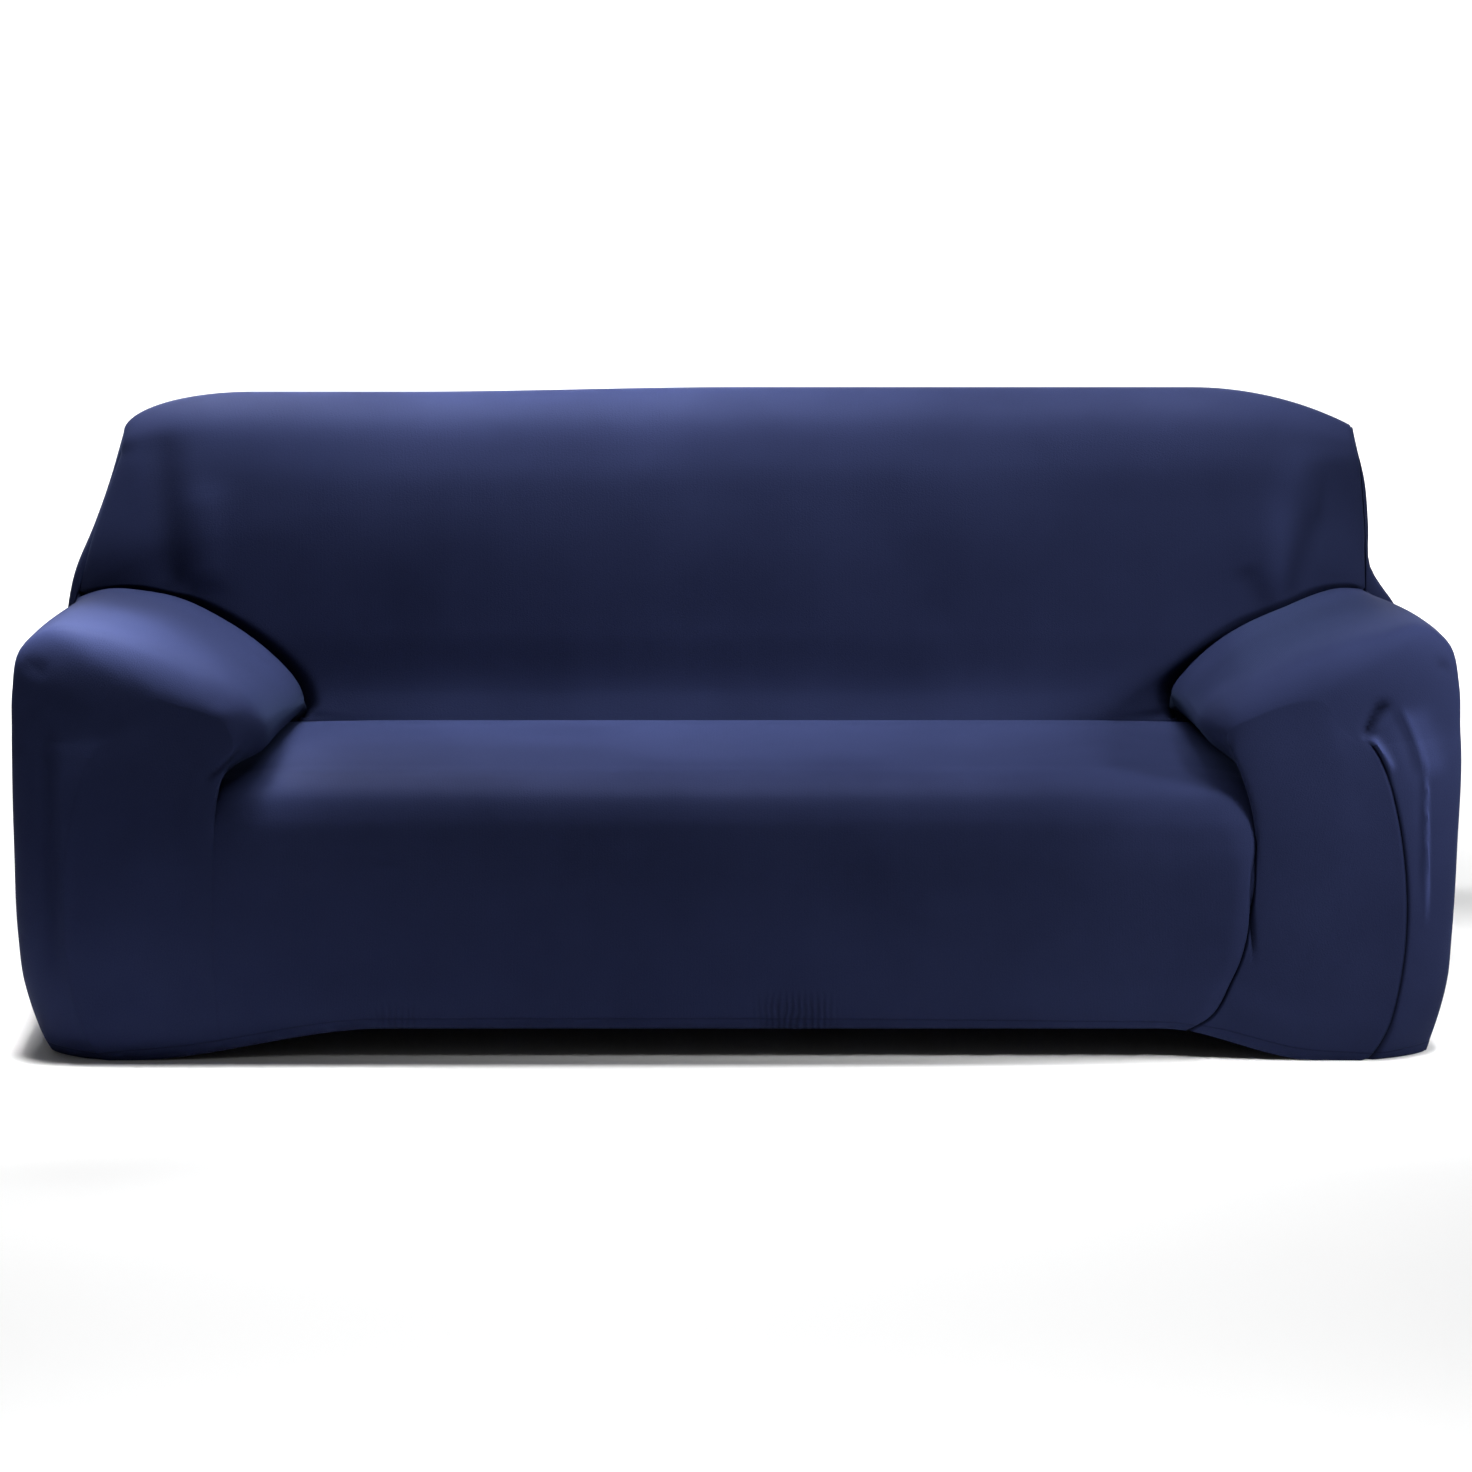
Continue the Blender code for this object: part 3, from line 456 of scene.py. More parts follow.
def arm_grid(side, seam):
    """An arm panel: rows from the hem up the flat front, round its turn and back along the roll,
    each row a line from the seam beside the seat to the side seam.  The turn starts and ends
    softly, as its rows there are averaged with their neighbours."""
    share = eased(ARCH_STEPS)
    face, front, rear = (arch(name, side, share) for name in ("face", "front", "rear"))
    hem_x = seam[0, 0] + (side * ARM_HEM_OUT - seam[0, 0]) * share
    hem = np.stack([hem_x, hem_lift(hem_x)], axis=1)

    up = eased(FACE_STEPS)[:, None]
    bow = side * SIDE_SEAM_BOW * share**3 * np.sin(math.pi * up**BOW_LOWNESS) ** BOW_FULLNESS
    widened = up ** (1 + FACE_FLARE * (1 - share))
    flat_x = hem[:, 0] + (face[:, 0] - hem[:, 0]) * widened + bow
    flat_z = hem[:, 1] + (face[:, 1] - hem[:, 1]) * up
    swell = FACE_SWELL * np.sin(math.pi * up) ** 2 * np.sin(math.pi * share)
    tucked = HEM_TUCK * (1 - smooth_step((flat_z - hem[:, 1]) / HEM_TUCK_HEIGHT))
    leant = FACE_LEAN * np.clip((up - 1 + LEAN_RUN) / LEAN_RUN, 0, 1) ** 2
    flat_y = FACE_Y - swell + tucked + leant

    first = math.radians(LEAN_ANGLE)
    turn = first + (math.pi / 2 - first) * np.linspace(0, 1, ROUND_STEPS + 1)[1:, None] ** TURN_EASE
    outward = (np.sin(turn) - math.sin(first)) / (1 - math.sin(first))
    turn_x = face[:, 0] + (front[:, 0] - face[:, 0]) * outward
    turn_z = face[:, 1] + (front[:, 1] - face[:, 1]) * outward
    turned = (math.cos(first) - np.cos(turn)) / math.cos(first)
    turn_y = FACE_Y + FACE_LEAN + (ROLL_Y - FACE_Y - FACE_LEAN) * turned + 0 * share

    along = np.linspace(0, 1, ROLL_STEPS + 1)[1:, None]
    narrowed = along ** (ROLL_EASE + ROLL_TAPER * share)
    roll_x = front[:, 0] + (rear[:, 0] - front[:, 0]) * narrowed
    roll_z = front[:, 1] + (rear[:, 1] - front[:, 1]) * narrowed
    roll_y = ROLL_Y + (back_y(rear[:, 0], rear[:, 1]) - ROLL_Y) * along

    x = np.concatenate([flat_x, turn_x, roll_x])
    y = np.concatenate([flat_y, turn_y, roll_y])
    z = np.concatenate([flat_z, turn_z, roll_z])
    grid = np.stack([x, y, z], axis=2)
    row = np.arange(1, len(grid) - 1)[:, None, None]
    soft = sum(near(row - end, SOFT_ROWS) for end in (FACE_STEPS, FACE_STEPS + ROUND_STEPS))
    outer = smooth_step((share[:, None] - OUTER_FROM) / OUTER_OVER)
    soft = np.minimum(soft, 1) * (1 - OUTER_LOSS * outer)
    for _ in range(SOFT_PASSES):
        level = (grid[:-2] + grid[2:]) / 2
        grid[1:-1] += SOFT_STEP * soft * (level - grid[1:-1])
    at_seam = (1 - np.clip(share / SEAM_HOLD, 0, 1)) ** 2
    on_face = np.clip(2 - 2 * np.arange(len(grid)) / FACE_STEPS, 0, 1)[:, None]
    hold = at_seam + (1 - share - at_seam) * on_face
    return grid + (seam - grid[:, 0])[:, None] * hold[:, :, None]


def side_grid(side, front_seam, top_seam, rear_seam):
    """A side panel: rows from the hem to the top seam, columns from front to rear.  It stands in
    from the cover's full width by the table's profile and closes on its three seams."""
    table = columns(SIDE, SIDE_COLUMNS)
    inset = table["right_in" if side > 0 else "left_in"]
    full = top_seam.copy()
    full[top_seam[:, 1] > ROLL_Y, 0] = side * HALF_WIDTH
    full[:, 1] = np.sort(full[:, 1])  # the top seam turns back a little where it leaves the arm
    run = np.gradient(full[:, :2], axis=0)
    normal = np.stack([side * run[:, 1], -side * run[:, 0]], axis=1)
    normal /= np.linalg.norm(normal, axis=1)[:, None]
    along = np.linspace(0, 1, len(top_seam))
    hem_z = REAR_HEM_HEIGHT * smooth_step(along)
    up = eased(FACE_STEPS)[:, None]
    z = hem_z + (top_seam[:, 2] - hem_z) * up
    stand_in = spline(table["z"], inset[:, None], z.ravel())[:, 0].reshape(z.shape)
    x = full[:, 0] - normal[:, 0] * stand_in
    y = full[:, 1] - normal[:, 1] * stand_in
    grid = np.stack([x, y, z], axis=2)
    to_front = 1 - (full[:, 0] - full[0, 0]) / (side * HALF_WIDTH - full[0, 0])
    grid = grid + (front_seam - grid[:, 0])[:, None] * to_front[None, :, None]
    to_rear = np.clip((along - 1 + REAR_TURN) / REAR_TURN, 0, 1) ** 2
    grid = grid + (rear_seam - grid[:, -1])[:, None] * to_rear[None, :, None]
    return grid + (top_seam - grid[-1])[None] * (up**TOP_PULL)[:, :, None]


def grid_normals(grid):
    """Unit normals of a grid of points: the cross product of its two differences."""
    rows, cols = np.gradient(grid, axis=0), np.gradient(grid, axis=1)
    normal = np.cross(cols, rows)
    return normal / np.linalg.norm(normal, axis=2, keepdims=True)


def mitred(first, second):
    """Both panels' normals along their seam: the same mitre where one panel runs on from the
    other, and unchanged where they meet in a crease."""
    agree = np.sum(first * second, axis=1, keepdims=True)
    mitre = (first + second) / (1 + np.maximum(agree, 0))
    return np.where(agree > RUNS_ON, mitre, first), np.where(agree > RUNS_ON, mitre, second)


def towards_crease(facing, shared, distance):
    """Unit directions that turn from the panel's own normals to the ones it shares along a crease,
    over CREASE_SHARE metres."""
    share = np.exp(-((distance / CREASE_SHARE) ** 2))[:, :, None]
    mixed = facing * (1 - share) + shared * share
    return mixed / np.linalg.norm(mixed, axis=2, keepdims=True)


def cover_panels():
    """Each panel's grid, its normals and the directions in which its relief runs in, by the name
    of its solid, matched point for point where two panels are sewn."""
    body = body_grid()
    body_facing = grid_normals(body)
    body_draw = body_facing.copy()
    across = along_lines(body, 1)
    panels = {}
    roll_end = ROUND_STEPS + ROLL_STEPS
    for side, column, name in ((-1, 0, "left"), (1, -1, "right")):
        edge, edge_facing = body[:, column], body_facing[:, column]
        arm = arm_grid(side, edge[: CREASE_ROW + 1])
        arm[-1] = edge[CREASE_ROW : PEAK_ROW + 1]
        top_seam = np.concatenate([arm[FACE_STEPS:, -1], edge[PEAK_ROW + 1 : NAPE_ROW + 1]])
        panel = side_grid(side, arm[: FACE_STEPS + 1, -1], top_seam, edge[NAPE_ROW:][::-1])
        arm_facing, panel_facing = side * grid_normals(arm), side * grid_normals(panel)
        seams = [
            (edge_facing[: CREASE_ROW + 1], arm_facing[:, 0]),
            (arm_facing[: FACE_STEPS + 1, -1], panel_facing[:, 0]),
            (edge_facing[PEAK_ROW : NAPE_ROW + 1], panel_facing[-1, roll_end:]),
            (arm_facing[FACE_STEPS:, -1], panel_facing[-1, : roll_end + 1]),
            (edge_facing[NAPE_ROW:], panel_facing[::-1, -1]),
        ]
        mitres = [mitred(first, second) for first, second in seams]
        for (first, second), (new_first, new_second) in zip(seams, mitres):
            first[:], second[:] = new_first, new_second

        beside_seat = edge_facing[: CREASE_ROW + 1] + arm_facing[:, 0]
        on_back = edge_facing[CREASE_ROW : PEAK_ROW + 1] + arm_facing[-1]
        shared = np.concatenate([beside_seat, on_back[1:], edge_facing[PEAK_ROW + 1 :]])
        shared = shared / np.linalg.norm(shared, axis=1)[:, None]
        from_edge = across if side < 0 else across[:, -1:] - across
        body_draw = towards_crease(body_draw, shared[:, None], from_edge)
        inner, high = along_lines(arm, 1), along_lines(arm, 0)
        arm_draw = towards_crease(arm_facing, shared[: CREASE_ROW + 1, None], inner)
        end_shared = shared[None, CREASE_ROW : PEAK_ROW + 1]
        arm_draw = towards_crease(arm_draw, end_shared, high[-1:] - high)
        outward = slice(None, None, side)
        for made, grid, facing, draw in (
            ("arm_panel", arm, arm_facing, arm_draw),
            ("side_panel", panel, panel_facing, panel_facing),
        ):
            panels[f"{made}_{name}"] = [values[:, outward] for values in (grid, facing, draw)]
    panels["body_panel"] = [body, body_facing, body_draw]
    return panels


def crease_relief(x, z, creases):
    """How far in the creases set the cloth at points in front view, and the painted light there:
    how much lighter the yarn's colour is painted, a painted highlight above 0 and painted shade
    below 0.  Each crease is a Gaussian trough across a line whose middle is bowed aside, and fades
    at both of its ends."""
    depth, lighter = 0 * x, 0 * x
    for x0, z0, x1, z1, bow, start, width, deep, painted_light in creases.values():
        run = math.hypot(x1 - x0, z1 - z0)
        way = ((x - x0) * (x1 - x0) + (z - z0) * (z1 - z0)) / run**2
        aside = ((z - z0) * (x1 - x0) - (x - x0) * (z1 - z0)) / run
        off = aside - bow * 4 * way * (1 - way)
        half = width * (start + (1 - start) * np.clip(way, 0, 1))
        ends = smooth_step(way / CREASE_ENDS) * smooth_step((1 - way) / CREASE_ENDS)
        across = np.exp(-((off / half) ** 2)) * ends
        depth, lighter = depth + deep * across, lighter + painted_light * across
    return depth, lighter


def along_lines(grid, axis):
    """Distance travelled along the grid's lines in one direction, from their first points."""
    step = np.linalg.norm(np.diff(grid, axis=axis), axis=2)
    way = np.cumsum(step, axis=axis)
    return np.concatenate([np.zeros_like(np.take(way, [0], axis=axis)), way], axis=axis)


def near(distance, width):
    """1 on a line and less away from it: a Gaussian of the distance."""
    return np.exp(-((distance / width) ** 2))


def relief(name, grid, sizes):
    """How far in the outside of a panel is set by its seams and its creases, with three marks that
    the material paints into the yarn's colour: how near a point is to a sewn seam, painted as shade
    in its groove, and how deep it lies in the tuck beside an arm, painted as shade there, both from
    0 to 1, and the creases' painted light, a painted highlight above 0 and painted shade below."""
    across, up = along_lines(grid, 1), along_lines(grid, 0)
    from_left, from_right = across, across[:, -1:] - across
    from_high = up[-1:] - up
    beside_seat = (np.arange(len(grid))[:, None] - FACE_STEPS) / (ROUND_STEPS + ROLL_STEPS)
    tucked = smooth_step((beside_seat - TUCK_FROM) / TUCK_OVER)
    corner = smooth_step((beside_seat + CORNER_FADE) / CORNER_FADE)
    width, left_share = sizes.seam_width, sizes.left_seam_share
    left_shown = left_share + (1 - left_share) * corner
    if name == "body_panel":
        rising = beside_seat <= (PEAK_ROW - FACE_STEPS) / (ROUND_STEPS + ROLL_STEPS)
        beside = tucked * rising
        left_shown = np.where(rising, left_shown, left_share)
        seam = (near(from_right, width) + near(from_left, width) * left_shown) * (1 - beside)
        edge = np.minimum(from_left, from_right)
        line = near(edge, sizes.crease_width) * beside
        shade = near(edge, BODY_SHADE) * beside
    elif name.startswith("arm"):
        left = "left" in name
        inner, outer = (from_right, from_left) if left else (from_left, from_right)
        outer_seam = near(outer, width) * (beside_seat <= 0)
        inner_seam = near(inner, width) * (1 - tucked)
        if left:
            outer_seam, inner_seam = outer_seam * left_share, inner_seam * left_shown
        seam = outer_seam + inner_seam
        edge = np.minimum(inner, from_high)
        line = near(edge, sizes.crease_width) * tucked
        shade = np.maximum(near(inner, ARM_SHADE), near(from_high, ARM_END_SHADE)) * tucked
    else:
        front_edge = from_right if "left" in name else from_left
        seam = near(front_edge, width) * (left_share if "left" in name else 1)
        line = shade = 0 * across
    dip = seam * sizes.seam_depth + line * sizes.crease_depth
    in_front = smooth_step((FRONT_OF - grid[:, :, 1]) / CREASE_FADE)
    drawn, lighter = crease_relief(grid[:, :, 0], grid[:, :, 2], FRONT_CREASES)
    dip, painted_light = dip + drawn * in_front, lighter * in_front
    if name == "body_panel":
        back = (np.arange(len(grid))[:, None] > CREASE_ROW) & (grid[:, :, 1] < BACK_TO)
        drawn, lighter = crease_relief(grid[:, :, 0], grid[:, :, 2], BACK_CREASES)
        dip, painted_light = dip + drawn * back, painted_light + lighter * back
    return dip, {"seam": seam, "tuck": np.maximum(line, SHADE_SHARE * shade), "painted_light": painted_light}


def hem_distance(name, grid):
    """Distance along the cloth from the nearest hem; the body panel has one at each end."""
    up = along_lines(grid, 0)
    return np.minimum(up, up[-1:] - up) if name == "body_panel" else up


def cloth(name, sizes, material):
    """One panel as a closed sheet: the outside grid with its relief, the same grid a thickness
    inside, and a rim.  Its UV map holds metres across the panel and up from its hem."""
    grid, facing, draw = cover_panels()[name]
    rows, cols = grid.shape[:2]
    dip, marks = relief(name, grid, sizes)
    outside = grid - draw * dip[:, :, None]
    inside = outside - facing * sizes.thickness
    points = np.concatenate([outside.reshape(-1, 3), inside.reshape(-1, 3)])
    index = np.arange(rows * cols).reshape(rows, cols)
    corners = [index[:-1, :-1], index[:-1, 1:], index[1:, 1:], index[1:, :-1]]
    faces = np.stack(corners, axis=2).reshape(-1, 4)
    loop = np.concatenate([index[0, ::-1], index[1:, 0], index[-1, 1:], index[-2:0:-1, -1]])
    after = np.roll(loop, -1)
    rim = np.stack([loop, after, after + rows * cols, loop + rows * cols], axis=1)
    faces = np.concatenate([faces, faces[:, ::-1] + rows * cols, rim])

    across = along_lines(grid, 1)
    across = across - across[:, cols // 2 : cols // 2 + 1]
    uv = np.stack([across, along_lines(grid, 0)], axis=2).reshape(-1, 2)
    uv = np.concatenate([uv, uv])[faces.ravel()]

    mesh = bpy.data.meshes.new(name + "_cloth")
    mesh.vertices.add(len(points))
    mesh.vertices.foreach_set("co", points.ravel())
    mesh.loops.add(faces.size)
    mesh.loops.foreach_set("vertex_index", faces.ravel().astype(np.int32))
    mesh.polygons.add(len(faces))
    mesh.polygons.foreach_set("loop_start", np.arange(0, faces.size, 4, dtype=np.int32))
    layer = mesh.uv_layers.new(name="cloth")
    layer.data.foreach_set("uv", uv.ravel())
    marks["from_hem"] = hem_distance(name, grid)
    # The marks go onto the mesh as attributes, from which the material paints shade and highlights
    # into the colour.
    for mark, values in marks.items():
        found = mesh.attributes.new(mark, "FLOAT", "POINT")
        found.data.foreach_set("value", np.tile(values.ravel(), 2).astype(np.float32))
    mesh.update(calc_edges=True)
    mesh.validate()
    mesh.shade_smooth()
    mesh.set_sharp_from_angle(angle=math.radians(SHARP_ANGLE))
    mesh.materials.append(material)
    piece = bpy.data.objects.new(name + "_cloth", mesh)
    bpy.context.scene.collection.objects.link(piece)
    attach(piece, "root")
    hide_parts(name)
    return piece


def add_node(tree, kind, **inputs):
    """A node of that kind with its inputs set by name."""
    node = tree.nodes.new(kind)
    for name, value in inputs.items():
        node.inputs[name.replace("_", " ")].default_value = value
    return node


def math_node(tree, operation, first, second):
    """A Math node on two values, each a socket or a number."""
    node = tree.nodes.new("ShaderNodeMath")
    node.operation = operation
    for socket, value in zip(node.inputs, (first, second)):
        if isinstance(value, bpy.types.NodeSocket):
            tree.links.new(value, socket)
        else:
            socket.default_value = value
    return node.outputs[0]


def smooth_range(tree, value, low, high):
    """0 where the value is at low and 1 where it is at high, smooth between."""
    node = tree.nodes.new("ShaderNodeMapRange")
    node.interpolation_type = "SMOOTHSTEP"
    node.inputs["From Min"].default_value = low
    node.inputs["From Max"].default_value = high
    tree.links.new(value, node.inputs["Value"])
    return node.outputs["Result"]


def navy_knit(look):
    """Stretch knit: a navy yarn with a soft blue sheen, fine ribs and a little mottling, and the
    small gathers that the hem's elastic draws up.  Painted light is mixed into its colour: painted
    shade in the seams, the tucks, the gathers and along the hem's stitches, and the creases'
    painted highlights and shade."""
    found = bpy.data.materials.get("navy_stretch_knit")
    if found:
        return found
    material = bpy.data.materials.new("navy_stretch_knit")
    material.use_nodes = True
    tree = material.node_tree
    shader = tree.nodes["Principled BSDF"]
    shader.inputs["Roughness"].default_value = look.roughness
    shader.inputs["Specular IOR Level"].default_value = 0.01
    shader.inputs["Specular Tint"].default_value = (0.4, 0.55, 1.0, 1)
    shader.inputs["Sheen Weight"].default_value = look.sheen
    shader.inputs["Sheen Roughness"].default_value = 0.25
    shader.inputs["Sheen Tint"].default_value = (*look.sheen_colour, 1)

    place = tree.nodes.new("ShaderNodeTexCoord")
    on_cloth = tree.nodes.new("ShaderNodeUVMap")
    on_cloth.uv_map = "cloth"

    broad = add_node(tree, "ShaderNodeTexNoise", Scale=5.0, Detail=3.0, Roughness=0.55)
    tree.links.new(place.outputs["Object"], broad.inputs["Vector"])
    flecks = add_node(tree, "ShaderNodeTexNoise", Scale=420.0, Detail=2.0, Roughness=0.6)
    tree.links.new(on_cloth.outputs["UV"], flecks.inputs["Vector"])
    mottled = math_node(tree, "MULTIPLY", broad.outputs["Fac"], MOTTLE_SHARE)
    flecked = math_node(tree, "MULTIPLY", flecks.outputs["Fac"], FLECK_SHARE)
    blend = math_node(tree, "ADD", mottled, flecked)
    ramp = tree.nodes.new("ShaderNodeValToRGB")
    ends = zip(ramp.color_ramp.elements, MOTTLE_RANGE, (look.deep_navy, look.navy))
    for element, position, colour in ends:
        element.position = position
        element.color = (*colour, 1)
    tree.links.new(blend, ramp.inputs["Fac"])
    marks = {}
    for name in (*PAINTED_LIGHT_SHARES, "from_hem"):
        node = tree.nodes.new("ShaderNodeAttribute")
        node.attribute_name = name
        marks[name] = node.outputs["Fac"]
    bottom = HEM_DEPTH - 2 * HEM_STITCH
    hem_line = math_node(
        tree, "MULTIPLY",
        smooth_range(tree, marks["from_hem"], bottom, bottom + 2 * HEM_STITCH),
        smooth_range(tree, marks["from_hem"], bottom + 4 * HEM_STITCH, bottom + 2 * HEM_STITCH),
    )

    # The small gathers that the elastic draws up stand in two places along the front hem; their
    # folds are painted as shade in the colour and drawn in as bumps.
    lines = add_node(tree, "ShaderNodeTexWave", Scale=GATHER_SCALE, Distortion=4.0, Detail=1.0)
    lines.inputs["Detail Scale"].default_value = 0.6
    tree.links.new(on_cloth.outputs["UV"], lines.inputs["Vector"])
    split = tree.nodes.new("ShaderNodeSeparateXYZ")
    tree.links.new(place.outputs["Object"], split.inputs[0])
    gathered = 0.0
    for middle, half, high, strength in GATHERS.values():
        off = math_node(tree, "SUBTRACT", split.outputs["X"], middle)
        off = math_node(tree, "ABSOLUTE", off, 0.0)
        here = smooth_range(tree, off, half, half * GATHER_CORE)
        low = smooth_range(tree, split.outputs["Z"], high, high - GATHER_RISE)
        here = math_node(tree, "MULTIPLY", here, low)
        in_front = smooth_range(tree, split.outputs["Y"], GATHER_FROM, GATHER_FULL)
        here = math_node(tree, "MULTIPLY", here, in_front)
        gathered = math_node(tree, "ADD", gathered, math_node(tree, "MULTIPLY", here, strength))
    folds = math_node(tree, "MULTIPLY", lines.outputs["Fac"], gathered)

    # Painted light: the navy is multiplied by painted shade from the seams, the tucks, the hem's
    # stitch line and the gathers, and by the creases' painted highlights and shade.
    shades = [(marks[name], share) for name, share in PAINTED_LIGHT_SHARES.items()]
    shades += [(hem_line, HEM_LINE_SHADE), (folds, GATHER_SHADE)]
    light = 1.0
    for mark, share in shades:
        left = math_node(tree, "ADD", 1.0, math_node(tree, "MULTIPLY", mark, share))
        light = math_node(tree, "MULTIPLY", light, left)
    shaded = tree.nodes.new("ShaderNodeVectorMath")
    shaded.operation = "SCALE"
    tree.links.new(ramp.outputs["Color"], shaded.inputs[0])
    tree.links.new(light, shaded.inputs["Scale"])
    tree.links.new(shaded.outputs["Vector"], shader.inputs["Base Color"])

    ribs = add_node(tree, "ShaderNodeTexWave", Scale=150.0, Distortion=1.5, Detail=1.0)
    ribs.inputs["Detail Scale"].default_value = 1.5
    ribs.bands_direction = "X"
    tree.links.new(on_cloth.outputs["UV"], ribs.inputs["Vector"])
    height = math_node(tree, "MULTIPLY", ribs.outputs["Fac"], RIB_HEIGHT)
    height = math_node(tree, "ADD", height, flecks.outputs["Fac"])
    knit = add_node(tree, "ShaderNodeBump", Strength=0.5, Distance=0.0006)
    tree.links.new(height, knit.inputs["Height"])
    sewn = add_node(tree, "ShaderNodeBump", Strength=0.8, Distance=0.0020)
    drawn_in = math_node(tree, "ADD", math_node(tree, "MULTIPLY", hem_line, 0.4), folds)
    tree.links.new(math_node(tree, "SUBTRACT", 1.0, drawn_in), sewn.inputs["Height"])
    tree.links.new(knit.outputs["Normal"], sewn.inputs["Normal"])
    tree.links.new(sewn.outputs["Normal"], shader.inputs["Normal"])
    return material


def studio(look):
    """The floor and the wall behind it as one sheet, swept from one to the other in a quarter
    circle."""
    bend = np.radians(90 * np.linspace(0, 1, SWEEP_STEPS + 1))
    y = np.concatenate([[FLOOR_FRONT], WALL_FOOT + SWEEP * np.sin(bend), [WALL_FOOT + SWEEP]])
    z = np.concatenate([[0], SWEEP - SWEEP * np.cos(bend), [WALL_TOP]])
    x = np.array([-1.0, 1.0]) * FLOOR_REACH
    corners = np.broadcast_arrays(x[None, :], y[:, None], z[:, None])
    points = np.stack(corners, axis=2).reshape(-1, 3)
    index = np.arange(len(points)).reshape(-1, 2)
    faces = np.stack([index[:-1, 0], index[:-1, 1], index[1:, 1], index[1:, 0]], axis=1)
    mesh = bpy.data.meshes.new("floor")
    mesh.from_pydata(points.tolist(), [], faces.tolist())
    mesh.shade_smooth()
    material = bpy.data.materials.new("pale_floor")
    material.use_nodes = True
    shader = material.node_tree.nodes["Principled BSDF"]
    shader.inputs["Base Color"].default_value = (*look.floor, 1)
    shader.inputs["Roughness"].default_value = 0.9
    shader.inputs["Specular IOR Level"].default_value = 0.1
    mesh.materials.append(material)
    floor = bpy.data.objects.new("floor", mesh)
    bpy.context.scene.collection.objects.link(floor)


def soft_light(name, place, towards, size, power, spread):
    """A rectangular lamp at place that shines towards a point, its power in watts and the angle
    of its cone in degrees."""
    light = bpy.data.lights.new(name, "AREA")
    light.shape = "RECTANGLE"
    light.size, light.size_y = size
    light.energy = power
    light.spread = math.radians(spread)
    lamp = bpy.data.objects.new(name, light)
    lamp.location = place
    lamp.rotation_euler = (Vector(towards) - Vector(place)).to_track_quat("-Z", "Y").to_euler()
    bpy.context.scene.collection.objects.link(lamp)


class SlipcoverSizes(bpy.types.PropertyGroup):
    """The sizes of the cloth and of how its seams draw in."""

    thickness: FloatProperty(
        name="Cloth thickness", description="Thickness of the knit", default=0.003, unit="LENGTH"
    )
    seam_depth: FloatProperty(
        name="Seam depth", description="How far a seam draws in", default=0.0035, unit="LENGTH"
    )
    seam_width: FloatProperty(
        name="Seam width", description="Half width of a seam's dip", default=0.0028, unit="LENGTH"
    )
    # The left seams' share also scales their painted shade.
    left_seam_share: FloatProperty(
        name="Left seams", description="How deep the left seams are, as a share", default=0.06
    )
    crease_depth: FloatProperty(
        name="Crease depth", description="How far the cloth is tucked in beside the arms",
        default=0.018, unit="LENGTH",
    )
    crease_width: FloatProperty(
        name="Crease width", description="Half width of that tuck", default=0.009, unit="LENGTH"
    )


class SlipcoverLook(bpy.types.PropertyGroup):
    """The colours of the cloth and of the studio."""

    navy: FloatVectorProperty(
        name="Navy", description="Yarn colour where it is lightest", subtype="COLOR",
        default=(0.0140, 0.0182, 0.0490),
    )
    deep_navy: FloatVectorProperty(
        name="Deep navy", description="Yarn colour where it is darkest", subtype="COLOR",
        default=(0.0097, 0.0127, 0.0350),
    )
    sheen_colour: FloatVectorProperty(
        name="Sheen colour", description="Colour of the soft shine", subtype="COLOR",
        default=(0.34, 0.50, 1.0),
    )
    sheen: FloatProperty(name="Sheen", description="Strength of the soft shine", default=0.04)
    roughness: FloatProperty(name="Roughness", description="Roughness of the yarn", default=0.6)
    floor: FloatVectorProperty(
        name="Floor", description="Colour of the studio floor", subtype="COLOR",
        default=(0.92, 0.92, 0.92),
    )


class SLIPCOVER_OT_body(bpy.types.Operator):
    """Make the body panel: apron, seat, inside back and outside back in one length"""

    bl_idname = "slipcover.body"
    bl_label = "Body Panel"

    def execute(self, context):
        scene = context.scene
        material = navy_knit(scene.slipcover_look)
        cloth("body_panel", scene.slipcover_sizes, material)
        return {"FINISHED"}


class SLIPCOVER_OT_arms(bpy.types.Operator):
    """Make the two arm panels, each over an arm's front and its roll"""

    bl_idname = "slipcover.arms"
    bl_label = "Arm Panels"

    def execute(self, context):
        scene = context.scene
        material = navy_knit(scene.slipcover_look)
        for name in ("arm_panel_left", "arm_panel_right"):
            cloth(name, scene.slipcover_sizes, material)
        return {"FINISHED"}


class SLIPCOVER_OT_sides(bpy.types.Operator):
    """Make the two side panels, each down the outside of an arm and the end of the back"""

    bl_idname = "slipcover.sides"
    bl_label = "Side Panels"

    def execute(self, context):
        scene = context.scene
        material = navy_knit(scene.slipcover_look)
        for name in ("side_panel_left", "side_panel_right"):
            cloth(name, scene.slipcover_sizes, material)
        return {"FINISHED"}


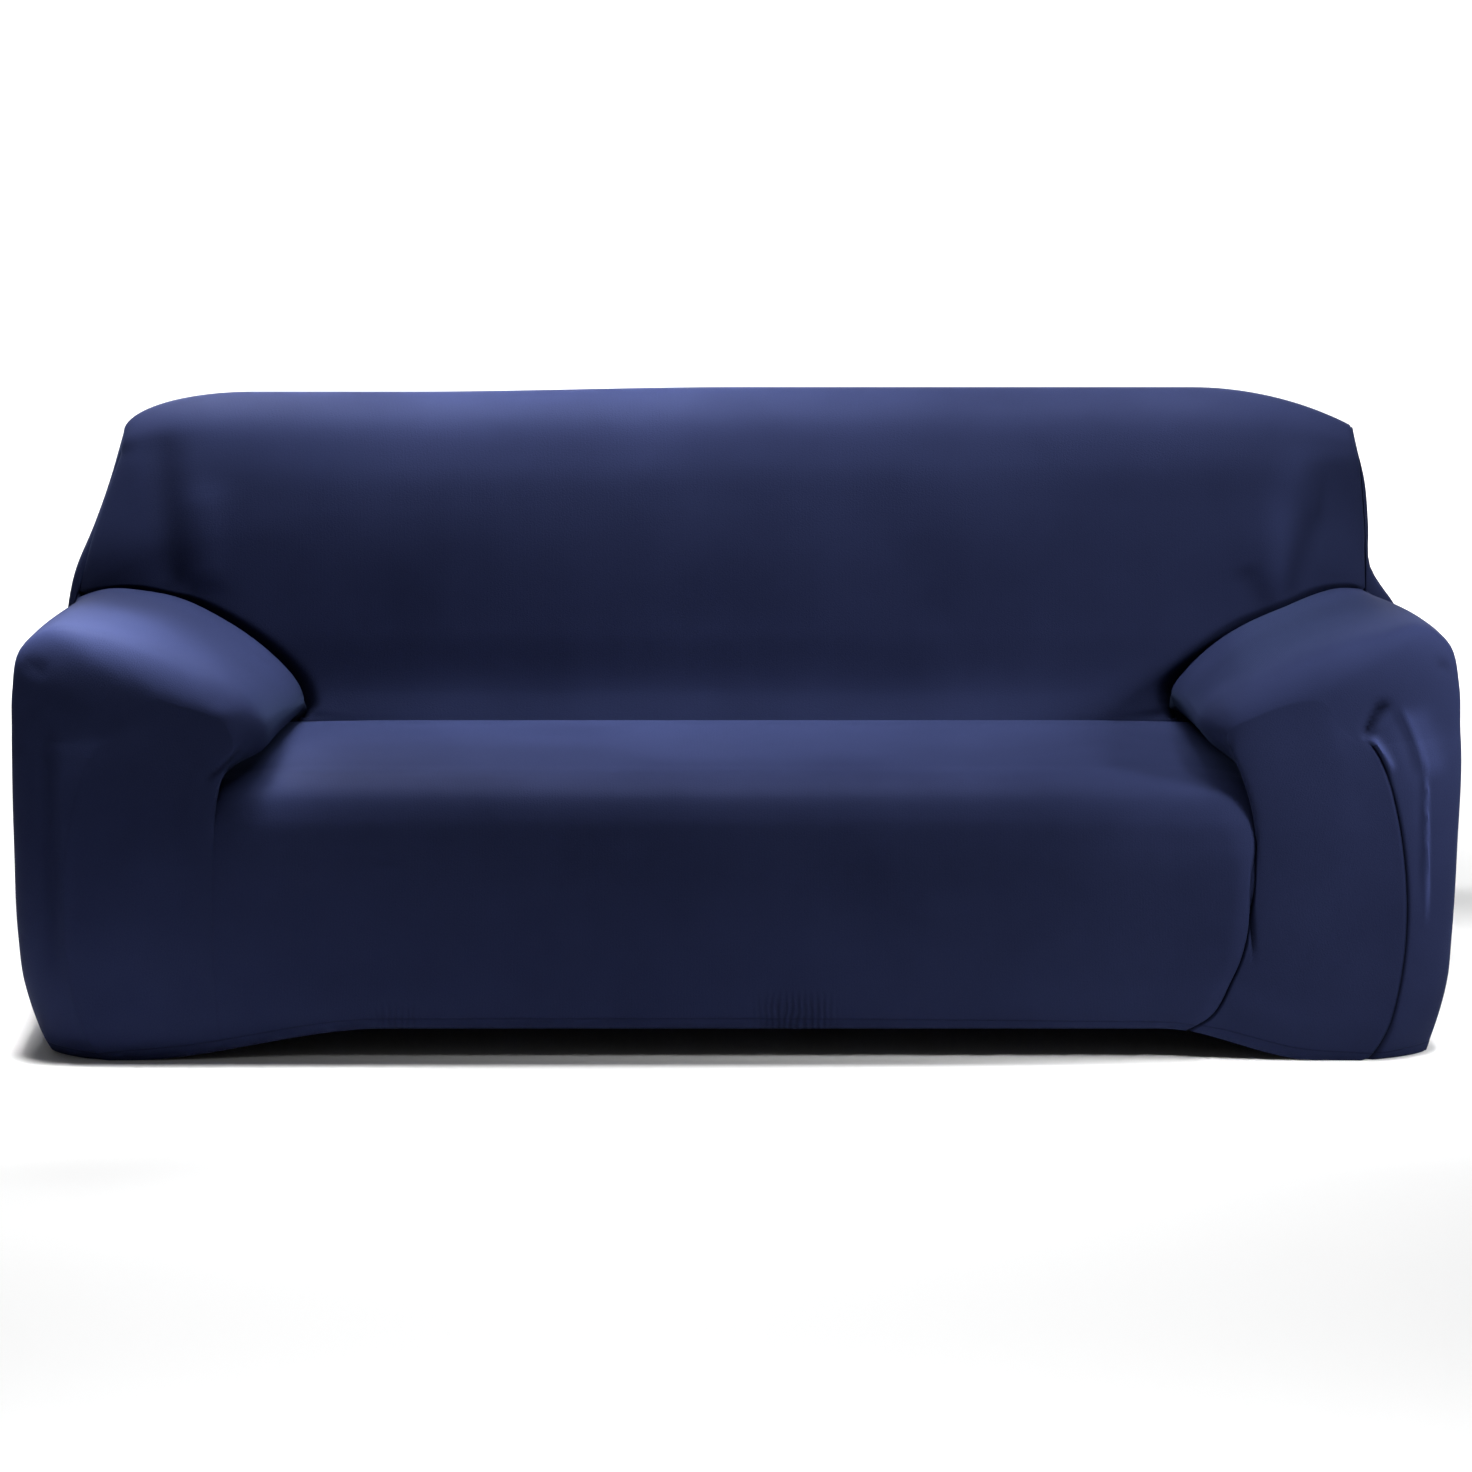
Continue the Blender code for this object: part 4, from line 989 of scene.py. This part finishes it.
class SLIPCOVER_OT_stage(bpy.types.Operator):
    """Set the floor, the lights and the camera"""

    bl_idname = "slipcover.stage"
    bl_label = "Stage"

    def execute(self, context):
        scene = context.scene
        studio(scene.slipcover_look)
        for name, lamp in LAMPS.items():
            soft_light(name, *lamp)
        world = bpy.data.worlds.new("studio")
        world.use_nodes = True
        background = world.node_tree.nodes["Background"]
        background.inputs["Color"].default_value = (1, 1, 1, 1)
        background.inputs["Strength"].default_value = WORLD_LIGHT
        scene.world = world
        scene.view_settings.view_transform = "Standard"

        lens = bpy.data.cameras.new("camera")
        lens.lens, lens.sensor_width = LENS, SENSOR
        camera = bpy.data.objects.new("camera", lens)
        camera.location = CAMERA_PLACE
        camera.rotation_euler = (math.radians(CAMERA_TILT), 0, 0)
        scene.collection.objects.link(camera)
        scene.camera = camera
        return {"FINISHED"}


class SLIPCOVER_PT_panel(bpy.types.Panel):
    """Lists the cover's pieces in the order they are made"""

    bl_idname = "SLIPCOVER_PT_panel"
    bl_label = "Slipcover"
    bl_space_type = "VIEW_3D"
    bl_region_type = "UI"
    bl_category = "Slipcover"

    def draw(self, context):
        for made in MAKERS:
            self.layout.operator(made.bl_idname)
        for group in (context.scene.slipcover_sizes, context.scene.slipcover_look):
            for name in group.bl_rna.properties.keys():
                if name not in ("rna_type", "name"):
                    self.layout.prop(group, name)


MAKERS = (SLIPCOVER_OT_body, SLIPCOVER_OT_arms, SLIPCOVER_OT_sides, SLIPCOVER_OT_stage)
CLASSES = (SlipcoverSizes, SlipcoverLook, *MAKERS, SLIPCOVER_PT_panel)


def register():
    """Add the cover's classes and its two groups of settings."""
    for found in CLASSES:
        bpy.utils.register_class(found)
    bpy.types.Scene.slipcover_sizes = PointerProperty(type=SlipcoverSizes)
    bpy.types.Scene.slipcover_look = PointerProperty(type=SlipcoverLook)


def unregister():
    """Take them out again."""
    del bpy.types.Scene.slipcover_look
    del bpy.types.Scene.slipcover_sizes
    for found in reversed(CLASSES):
        bpy.utils.unregister_class(found)


def main():
    """Make every piece and the stage."""
    register()
    bpy.ops.slipcover.body()
    bpy.ops.slipcover.arms()
    bpy.ops.slipcover.sides()
    bpy.ops.slipcover.stage()


if __name__ == "__main__":
    main()
